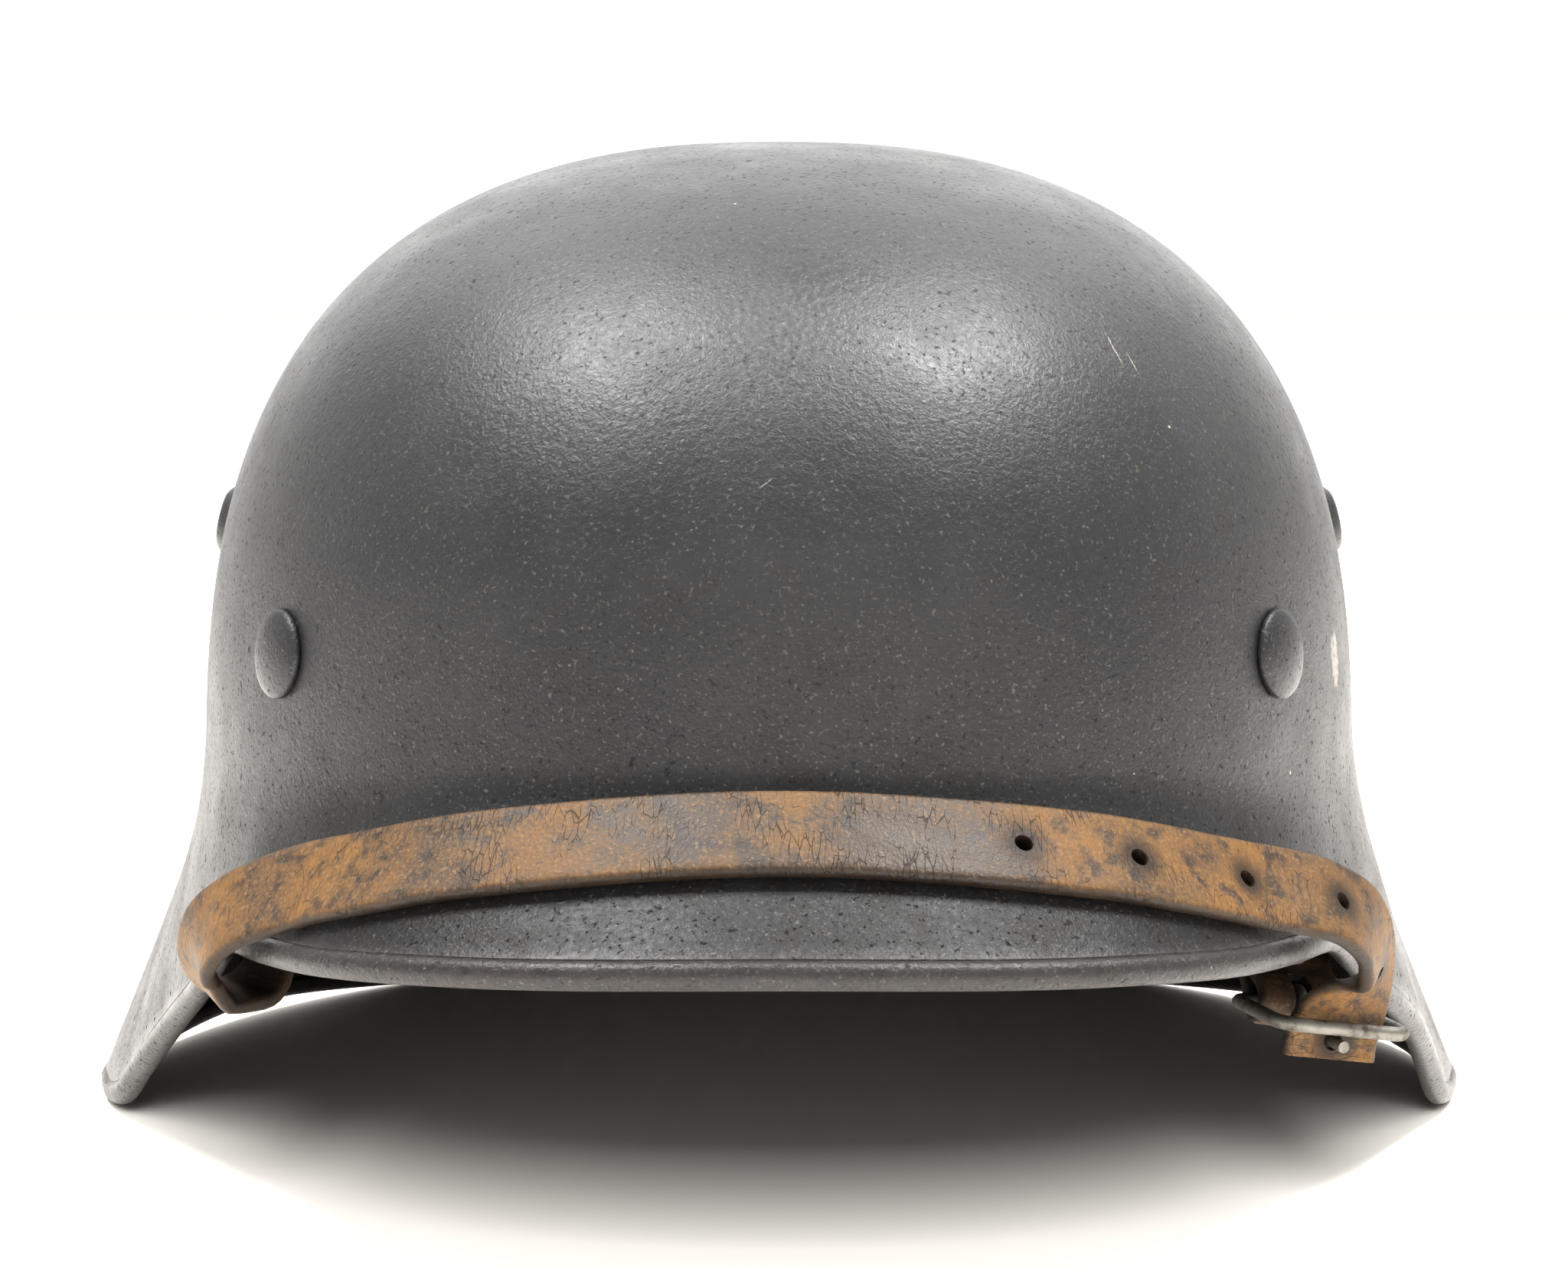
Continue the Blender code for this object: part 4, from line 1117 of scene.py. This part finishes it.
@dataclass(frozen=True)
class FieldPaint:
    """Pressed steel under old matt field paint: satin, with sandy grit, dust, rubbed edges and rust.

    The sizes of its patterns are in millimetres, and those of its patches in metres.
    """

    name: str = "matt_field_paint_on_steel"
    paint: str = "#1A1A1C"
    faded: str = "#252526"
    # Dark tone of grime, also laid on as painted shade low on the shell.
    grime_and_shade_tone: str = "#151311"
    rubbed: str = "#302C2A"
    chip: str = "#8F8B80"
    rust: str = "#8A5528"
    dust: str = "#504D49"
    cloud: float = 60.0
    dent: float = 34.0
    smudge: float = 14.0
    rust_cell: float = 9.0
    chip_cell: float = 6.5
    rub: float = 2.4
    peel: float = 1.15
    pit: float = 0.85
    mote: float = 0.6
    grit: float = 0.55
    roughness: float = 0.37
    scuff: Patch = Patch(61, 0.0862, 0, 0.0040, 0.0068)
    scratches: tuple[Patch, ...] = (
        Patch(33.5, 0.1365, -6, 0.00022, 0.0050),
        Patch(35, 0.1340, -3, 0.00016, 0.0030),
        Patch(-1, 0.1190, -50, 0.00012, 0.0017),
    )
    crack: Patch = Patch(31, 0.1500, 32, 0.00016, 0.0070)

    def make(self, form: HelmetForm) -> bpy.types.Material:
        """Makes the material, whose patches lie on the helmet's form."""
        made, tree, shader = new_material(self.name)
        where = add_node(tree, "TexCoord").outputs["Object"]
        _, back, height = add_node(tree, "SeparateXYZ", {0: where}).outputs
        wear = add_node(tree, "Attribute", attribute_name="rim_wear").outputs["Fac"]
        clouds, smudges, rubs, pitted, motes = (
            add_node(tree, "TexNoise", {
                "Vector": where, "Scale": per_mm(size), "Detail": detail, "Roughness": rough}).outputs["Fac"]
            for size, detail, rough in (
                (self.cloud, 6.0, 0.62), (self.smudge, 8.0, 0.70), (self.rub, 6.0, 0.75),
                (self.pit, 2.0, 0.50), (self.mote, 2.0, 0.60))
        )
        # Random grime, with painted shade that darkens the paint towards the bottom and lightens it towards
        # the top; the rolled edge is rubbed paler by years of handling.
        # Painted shade: the higher the point, the less of the dark tone.
        low = add_node(tree, "MapRange", {
            "Value": height, "From Min": 0.13, "From Max": 0.03, "To Min": -0.12, "To Max": 0.20}).outputs[0]
        grime_and_shade = add_node(tree, "Math", {0: smudges, 1: low}, operation="ADD").outputs[0]
        rubbing = add_node(tree, "Math", {0: wear, 1: rubs}, operation="MULTIPLY").outputs[0]
        coats = []
        for value, first, last, most, curve, coat in (
            (clouds, 0.44, 0.68, 0.80, "SMOOTHSTEP", self.faded),
            (grime_and_shade, 0.46, 0.74, 0.75, "SMOOTHSTEP", self.grime_and_shade_tone),
            (rubbing, 0.22, 0.62, 0.75, "SMOOTHSTEP", self.rubbed),
            (motes, 0.60, 0.74, 0.80, "LINEAR", self.dust),
        ):
            mask = add_node(tree, "MapRange", {
                "Value": value, "From Min": first, "From Max": last, "To Max": most,
            }, interpolation_type=curve)
            coats.append((mask.outputs[0], coat))
        shifted = add_node(tree, "VectorMath", {0: where, 1: (0.31, 0.17, 0.05)}, operation="ADD").outputs[0]
        coats.append((self.specks(tree, where, self.chip_cell, 0.05, 0.80), self.chip))
        coats.append((self.specks(tree, shifted, self.rust_cell, 0.06, 0.86), self.rust))
        for patch in (self.scuff, *self.scratches):
            coats.append((self.on_patch(tree, where, form, patch), self.chip))
        coats.append((self.on_patch(tree, where, form, self.crack), self.grime_and_shade_tone))
        colour = linear(self.paint)
        for mask, coat in coats:
            mixed = add_node(tree, "Mix", {0: mask, 6: colour, 7: linear(coat)}, data_type="RGBA")
            colour = mixed.outputs[2]
        # Satin paint is glossier where it is rubbed, and duller in its pits.
        pits = add_node(tree, "MapRange", {"Value": pitted, "From Min": 0.38, "From Max": 0.30}).outputs[0]
        gloss = add_node(tree, "MapRange", {
            "Value": smudges, "From Min": 0.3, "From Max": 0.7,
            "To Min": self.roughness - 0.05, "To Max": self.roughness + 0.10}).outputs[0]
        # The shine is weaker towards the bottom and weakest on the visor.
        sheen = add_node(tree, "MapRange", {
            "Value": height, "From Min": 0.03, "From Max": 0.125, "To Min": 0.14, "To Max": 0.45}).outputs[0]
        handled = add_node(tree, "MapRange", {
            "Value": back, "From Min": -0.108, "From Max": -0.122, "To Min": 1.0, "To Max": 0.80}).outputs[0]
        sheen = add_node(tree, "Math", {0: sheen, 1: handled}, operation="MULTIPLY").outputs[0]
        for mask, change in ((pits, 0.30), (wear, -0.05)):
            changed = add_node(tree, "Math", {0: mask, 1: change, 2: gloss}, operation="MULTIPLY_ADD")
            gloss = changed.outputs[0]
        for mask, change in ((wear, 0.08), (pits, -0.16)):
            changed = add_node(tree, "Math", {0: mask, 1: change, 2: sheen}, operation="MULTIPLY_ADD")
            sheen = changed.outputs[0]
        plug(tree, shader, {
            "Base Color": colour, "Roughness": gloss, "IOR": 1.45,
            "Specular IOR Level": sheen, "Normal": self.relief(tree, where, smudges)})
        return made

    def specks(self, tree: Tree, where: Socket, cell: float, size: float, bare: float) -> Socket:
        """Small specks in some of the cells of a pattern.

        Args:
            tree: The material's tree.
            where: Place on the surface.
            cell: A cell's size in millimetres.
            size: The largest speck's radius as a share of a cell.
            bare: Share of the cells that have no speck.

        Returns:
            1 inside a speck.
        """
        cells = add_node(tree, "TexVoronoi", {"Vector": where, "Scale": per_mm(cell)})
        chance = add_node(tree, "SeparateColor", {0: cells.outputs["Color"]})
        chosen = add_node(tree, "Math", {0: chance.outputs[0], 1: bare}, operation="GREATER_THAN").outputs[0]
        reach = add_node(tree, "Math", {0: chance.outputs[1], 1: size}, operation="MULTIPLY").outputs[0]
        inside = add_node(tree, "Math", {0: cells.outputs["Distance"], 1: reach}, operation="LESS_THAN")
        return add_node(tree, "Math", {0: inside.outputs[0], 1: chosen}, operation="MULTIPLY").outputs[0]

    def on_patch(self, tree: Tree, where: Socket, form: HelmetForm, patch: Patch) -> Socket:
        """A frayed patch where the paint is worn thin, or a scratch when it is narrow.

        Args:
            tree: The material's tree.
            where: Place on the surface.
            form: The helmet's shape.
            patch: The place and the size.

        Returns:
            0 off the patch, rising to a part of 1 on it.
        """
        place = form.surface_frame(patch.azimuth, patch.height)
        place = place @ Matrix.Rotation(math.radians(patch.turn), 4, "Z")
        reach = min(0.0014, 4 * patch.half_width)
        wander = add_node(tree, "TexNoise", {
            "Vector": where, "Scale": per_mm(3.0), "Detail": 4.0, "Roughness": 0.7}).outputs["Color"]
        bent = add_node(tree, "VectorMath", {
            0: wander, 1: (reach, reach, reach), 2: where}, operation="MULTIPLY_ADD").outputs[0]
        local = add_node(tree, "Mapping", {
            "Vector": bent, "Location": place.translation + Vector((reach, reach, reach)) / 2,
            "Rotation": place.to_euler(),
            "Scale": (patch.half_width, patch.half_length, 0.0200)}, vector_type="TEXTURE").outputs[0]
        away = add_node(tree, "VectorMath", {0: local}, operation="LENGTH").outputs["Value"]
        near = add_node(tree, "MapRange", {"Value": away, "From Min": 1.4, "From Max": 0.5}).outputs[0]
        flaked = add_node(tree, "TexNoise", {
            "Vector": where, "Scale": per_mm(1.3), "Detail": 6.0, "Roughness": 0.75}).outputs["Fac"]
        frayed = add_node(tree, "Math", {0: near, 1: flaked}, operation="MULTIPLY").outputs[0]
        return add_node(tree, "MapRange", {
            "Value": frayed, "From Min": 0.38, "From Max": 0.47, "To Max": 0.75}).outputs[0]

    def relief(self, tree: Tree, where: Socket, smudges: Socket) -> Socket:
        """Dents of the old sheet, orange peel and sandy grit.

        Args:
            tree: The material's tree.
            where: Place on the surface.
            smudges: A middling noise that makes the grit uneven.

        Returns:
            The normal.
        """
        amount = add_node(tree, "MapRange", {
            "Value": smudges, "From Min": 0.35, "From Max": 0.65, "To Min": 0.45, "To Max": 1.0}).outputs[0]
        # Real peel and grit are finer, and are drawn as coarse as the render shows.
        under = {}
        for size, detail, rough, twist, depth, strength in (
            (self.dent, 2.0, 0.40, 0.0, 0.0006, 0.6),
            (self.peel, 5.0, 0.62, 0.6, 0.00014, 1.0),
            (self.grit, 2.0, 0.60, 0.0, 0.00011, amount),
        ):
            pattern = add_node(tree, "TexNoise", {
                "Vector": where, "Scale": per_mm(size), "Detail": detail, "Roughness": rough,
                "Distortion": twist}).outputs["Fac"]
            inputs = {"Height": pattern, "Distance": depth, "Strength": strength, **under}
            under = {"Normal": add_node(tree, "Bump", inputs).outputs[0]}
        return under["Normal"]


@dataclass(frozen=True)
class DullSteel:
    """Plated steel strip and wire gone dull: grey and soft in its shine, brown where it tarnished."""

    name: str = "dulled_plated_steel"
    metal: str = "#75726C"
    tarnish: str = "#3B342C"
    patch: float = 6.0
    scratch: float = 0.5
    roughness: float = 0.46

    def make(self) -> bpy.types.Material:
        """Makes the material."""
        made, tree, shader = new_material(self.name)
        where = add_node(tree, "TexCoord").outputs["Object"]
        patches, marks = (
            add_node(tree, "TexNoise", {
                "Vector": where, "Scale": per_mm(size), "Detail": detail, "Roughness": rough}).outputs["Fac"]
            for size, detail, rough in ((self.patch, 7.0, 0.7), (self.scratch, 3.0, 0.6))
        )
        tarnished = add_node(tree, "MapRange", {
            "Value": patches, "From Min": 0.45, "From Max": 0.68}, interpolation_type="SMOOTHSTEP").outputs[0]
        colour = add_node(tree, "Mix", {
            0: tarnished, 6: linear(self.metal), 7: linear(self.tarnish)}, data_type="RGBA").outputs[2]
        dull = add_node(tree, "MapRange", {
            "Value": patches, "From Min": 0.35, "From Max": 0.7,
            "To Min": self.roughness, "To Max": self.roughness + 0.3}).outputs[0]
        normal = add_node(tree, "Bump", {"Height": marks, "Distance": 0.00003, "Strength": 0.6}).outputs[0]
        plug(tree, shader, {"Base Color": colour, "Metallic": 1.0, "Roughness": dull, "Normal": normal})
        return made


@dataclass(frozen=True)
class OldLeather:
    """Vegetable-tanned cow hide with a cracked glaze: warm brown, dark where hands and holes have worn it."""

    name: str = "worn_tanned_leather"
    hide: str = "#392D22"
    pale: str = "#6E4C23"
    dark: str = "#261D17"
    edge: str = "#17100B"
    glaze: str = "#6B5C4A"
    patch: float = 24.0
    mottle: float = 3.4
    grain: float = 0.65
    crack: float = 1.1
    roughness: float = 0.42
    half_width: float = STRAP_WIDTH / 2

    def make(self) -> bpy.types.Material:
        """Makes the material."""
        made, tree, shader = new_material(self.name)
        where = add_node(tree, "Attribute", attribute_name="leather_place").outputs["Vector"]
        holes = add_node(tree, "Attribute", attribute_name="hole_wear").outputs["Fac"]
        across, _, up = add_node(tree, "SeparateXYZ", {0: where}).outputs
        patches, mottle, grain = (
            add_node(tree, "TexNoise", {
                "Vector": where, "Scale": per_mm(size), "Detail": detail, "Roughness": rough}).outputs["Fac"]
            for size, detail, rough in (
                (self.patch, 2.0, 0.5), (self.mottle, 5.0, 0.6), (self.grain, 3.0, 0.6))
        )
        # Where the glaze is rubbed off, the orange hide shows in flecks and clouds.
        bared = patches
        for part, amount in ((mottle, 0.5), (grain, 0.6)):
            added = add_node(tree, "Math", {0: part, 1: amount, 2: bared}, operation="MULTIPLY_ADD")
            bared = added.outputs[0]
        # The middle, over the visor, kept its glaze, and both ends are rubbed down to the hide.
        space = add_node(tree, "TexCoord").outputs["Object"]
        sideways = add_node(tree, "SeparateXYZ", {0: space}).outputs["X"]
        sideways = add_node(tree, "Math", {0: sideways}, operation="ABSOLUTE").outputs[0]
        ends = add_node(tree, "MapRange", {
            "Value": sideways, "From Min": 0.020, "From Max": 0.062, "To Min": -0.13, "To Max": 0.07,
        }, interpolation_type="SMOOTHSTEP").outputs[0]
        bared = add_node(tree, "Math", {0: bared, 1: ends}, operation="ADD").outputs[0]
        # Handled edges and the rims of the holes are almost black.
        outward = add_node(tree, "Math", {0: across}, operation="ABSOLUTE").outputs[0]
        worn, cut = (
            add_node(tree, "MapRange", {
                "Value": value, "From Min": first, "From Max": last, "To Max": 0.9}).outputs[0]
            for value, first, last in (
                (outward, 0.78 * self.half_width, self.half_width), (up, 0.0009, 0.0003))
        )
        for mask in (cut, holes):
            worn = add_node(tree, "Math", {0: worn, 1: mask}, operation="MAXIMUM").outputs[0]
        handled = add_node(tree, "Math", {0: mottle, 1: 0.6, 2: worn}, operation="MULTIPLY_ADD").outputs[0]
        crazing = self.crazing(tree, where)
        colour = linear(self.hide)
        for value, first, last, most, curve, coat in (
            (bared, 0.88, 1.30, 1.0, "LINEAR", self.pale),
            (mottle, 0.50, 0.33, 0.8, "SMOOTHSTEP", self.dark),
            (grain, 0.57, 0.68, 0.55, "LINEAR", self.glaze),
            (handled, 0.55, 1.15, 0.9, "SMOOTHSTEP", self.edge),
        ):
            mask = add_node(tree, "MapRange", {
                "Value": value, "From Min": first, "From Max": last, "To Max": most,
            }, interpolation_type=curve)
            colour = add_node(tree, "Mix", {
                0: mask.outputs[0], 6: colour, 7: linear(coat)}, data_type="RGBA").outputs[2]
        colour = add_node(tree, "Mix", {
            0: crazing, 6: colour, 7: linear(self.edge)}, data_type="RGBA").outputs[2]
        # Flecks of the old glaze still shine between the cracks.
        gloss = add_node(tree, "MapRange", {
            "Value": bared, "From Min": 0.75, "From Max": 1.20,
            "To Min": self.roughness, "To Max": self.roughness + 0.20}).outputs[0]
        under = {}
        for pattern, depth, strength, sunk in (
            (mottle, 0.00016, 0.7, False), (crazing, 0.00018, 0.9, True), (grain, 0.00014, 0.9, False),
        ):
            inputs = {"Height": pattern, "Distance": depth, "Strength": strength, **under}
            under = {"Normal": add_node(tree, "Bump", inputs, invert=sunk).outputs[0]}
        plug(tree, shader, {
            "Base Color": colour, "Roughness": gloss, "IOR": 1.46, "Specular IOR Level": 0.27, **under})
        return made

    def crazing(self, tree: Tree, where: Socket) -> Socket:
        """Fine cracks of the dried glaze, mostly across the strap.

        Args:
            tree: The material's tree.
            where: Place on the leather.

        Returns:
            0 off the cracks, rising to a part of 1 in them.
        """
        bent = add_node(tree, "TexNoise", {
            "Vector": where, "Scale": per_mm(4.0), "Detail": 3.0}).outputs["Color"]
        shift = add_node(tree, "VectorMath", {
            0: bent, 1: (0.0011, 0.0011, 0.0), 2: where}, operation="MULTIPLY_ADD").outputs[0]
        drawn = add_node(tree, "Mapping", {"Vector": shift, "Scale": (0.24, 1.15, 0.3)}).outputs[0]
        cells = add_node(tree, "TexVoronoi", {
            "Vector": drawn, "Scale": per_mm(self.crack)}, feature="DISTANCE_TO_EDGE").outputs["Distance"]
        opened = add_node(tree, "TexNoise", {
            "Vector": where, "Scale": per_mm(9.0), "Detail": 4.0, "Roughness": 0.65}).outputs["Fac"]
        width = add_node(tree, "MapRange", {
            "Value": opened, "From Min": 0.48, "From Max": 0.72, "To Min": 0.001, "To Max": 0.075}).outputs[0]
        inside = add_node(tree, "Math", {0: cells, 1: width}, operation="DIVIDE").outputs[0]
        return add_node(tree, "MapRange", {
            "Value": inside, "From Min": 1.0, "From Max": 0.2, "To Max": 0.7}).outputs[0]


@dataclass
class Studio:
    """A pale table, soft lights above, behind and low in front, and the camera of the photograph."""

    table_size: float = 6.0
    table_colour: str = "#F3EFE8"
    distance: float = 0.700
    eye_height: float = 0.1706
    look_down: float = math.radians(7.04)
    focal_pixels: float = 5469
    frame_pixels: tuple[int, int] = (2048, 1656)
    shift_pixels: float = 6.5
    sensor: float = 36.0
    lights: tuple[tuple[str, tuple[float, float, float], float, float], ...] = (
        ("key_left", (-0.48, -0.02, 1.28), 0.40, 27.0),
        ("key_right", (0.48, -0.02, 1.28), 0.40, 27.0),
        ("back_wall", (0.0, 2.0, 1.1), 2.60, 30.0),
        ("low_front", (0.0, -1.30, 0.78), 0.45, 36.0),
    )
    lit_height: float = 0.08
    world_colour: str = "#FFFEFB"
    world_strength: float = 1.1

    def build(self) -> None:
        """Sets up the table, the lights, the world and the camera."""
        table = self.add_table()
        for name, place, size, power in self.lights:
            last_light = self.add_light(name, place, size, power)
        # The last light, low in front, is only for the table and its shadow.
        lit = bpy.data.collections.new("lit_by_low_front")
        lit.objects.link(table)
        last_light.light_linking.receiver_collection = lit
        self.add_world()
        self.add_camera()

    def add_table(self) -> Object:
        """A plain pale table."""
        deselect()
        bpy.ops.mesh.primitive_plane_add(size=self.table_size)
        table = bpy.context.object
        table.name = "table"
        paper, tree, shader = new_material("matt_white_paper")
        plug(tree, shader, {"Base Color": linear(self.table_colour), "Roughness": 0.85})
        table.data.materials.append(paper)
        return table

    def add_light(self, name: str, place: Sequence[float], size: float, power: float) -> Object:
        """A soft square light that faces the helmet.

        Args:
            name: The light's name.
            place: Its middle.
            size: Of its side.
            power: In watts.

        Returns:
            The light.
        """
        light = bpy.data.lights.new(name, "AREA")
        light.size = size
        light.energy = power
        lamp = bpy.data.objects.new(name, light)
        lamp.location = place
        away = Vector(place) - Vector((0, 0, self.lit_height))
        lamp.rotation_euler = away.to_track_quat("Z", "Y").to_euler()
        bpy.context.scene.collection.objects.link(lamp)
        return lamp

    def add_world(self) -> None:
        """White surroundings."""
        world = bpy.data.worlds.new("white_studio")
        world.use_nodes = True
        sky = world.node_tree.nodes["Background"]
        plug(world.node_tree, sky, {"Color": linear(self.world_colour), "Strength": self.world_strength})
        bpy.context.scene.world = world
        bpy.context.scene.view_settings.view_transform = "Standard"

    def add_camera(self) -> None:
        """The photograph's camera, in front of the helmet and looking a little down."""
        wide = self.frame_pixels[0]
        lens = bpy.data.cameras.new("camera")
        lens.sensor_width = self.sensor
        lens.lens = self.focal_pixels / wide * self.sensor
        lens.shift_x = self.shift_pixels / wide
        camera = bpy.data.objects.new("camera", lens)
        camera.location = (0, -self.distance, self.eye_height)
        camera.rotation_euler = (math.pi / 2 - self.look_down, 0, 0)
        bpy.context.scene.collection.objects.link(camera)
        bpy.context.scene.camera = camera


def finish_piece(piece: Object, finish: bpy.types.Material, slot: str, *nodes: str) -> None:
    """Gives a piece its finish and ties it to the model.

    Args:
        piece: The piece.
        finish: Its material.
        slot: The record's material slot, which is not used.
        nodes: The solids that it stands for.
    """
    piece.data.materials.clear()
    piece.data.materials.append(finish)
    take(piece)
    bpy.ops.object.shade_smooth_by_angle(angle=math.radians(38))
    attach(piece, "root")
    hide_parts(*nodes)
    LOG.info("%s: %d faces, for %s", piece.name, len(piece.data.polygons), ", ".join(nodes))


def main() -> None:
    """Builds the helmet, piece by piece, and the studio round it."""
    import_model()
    form = HelmetForm()
    paint = FieldPaint().make(form)
    metal = DullSteel().make()
    hide = OldLeather().make()
    dark_hide = OldLeather(name="dark_tanned_leather", hide="#382A1E", pale="#4C3725", dark="#221912").make()
    rivets = [Rivet(form, "front_left", -45.7), Rivet(form, "front_right", 45.7), Rivet(form, "back", 180)]
    shell = Shell(form).build([(rivet.azimuth, rivet.height) for rivet in rivets])
    finish_piece(shell, paint, "painted_steel", "shell")
    for rivet in rivets:
        piece = rivet.build()
        piece.name = f"rivet_{rivet.name}_fine"
        finish_piece(piece, paint, "painted_steel", f"rivet_{rivet.name}")
    band = LinerBand(form)
    finish_piece(band.build([rivet.azimuth for rivet in rivets]), metal, "dull_steel", "liner_band")
    buckle = Buckle()
    finish_piece(buckle.build_frame(), metal, "dull_steel", "buckle_frame")
    finish_piece(buckle.build_tongue(), metal, "dull_steel", "buckle_tongue")
    straps = ChinStrap(form, band, buckle)
    strap, stud = straps.build_long()
    finish_piece(strap, hide, "brown_leather", "chin_strap_long")
    finish_piece(stud, metal, "dull_steel", "strap_stud_left")
    strap, stud, buckle_stud = straps.build_short()
    finish_piece(strap, dark_hide, "brown_leather", "chin_strap_short")
    finish_piece(stud, metal, "dull_steel", "strap_stud_right")
    finish_piece(buckle_stud, metal, "dull_steel", "buckle_stud")
    Studio().build()


if __name__ == "__main__":
    logging.basicConfig(level=logging.INFO, format="%(message)s")
    main()
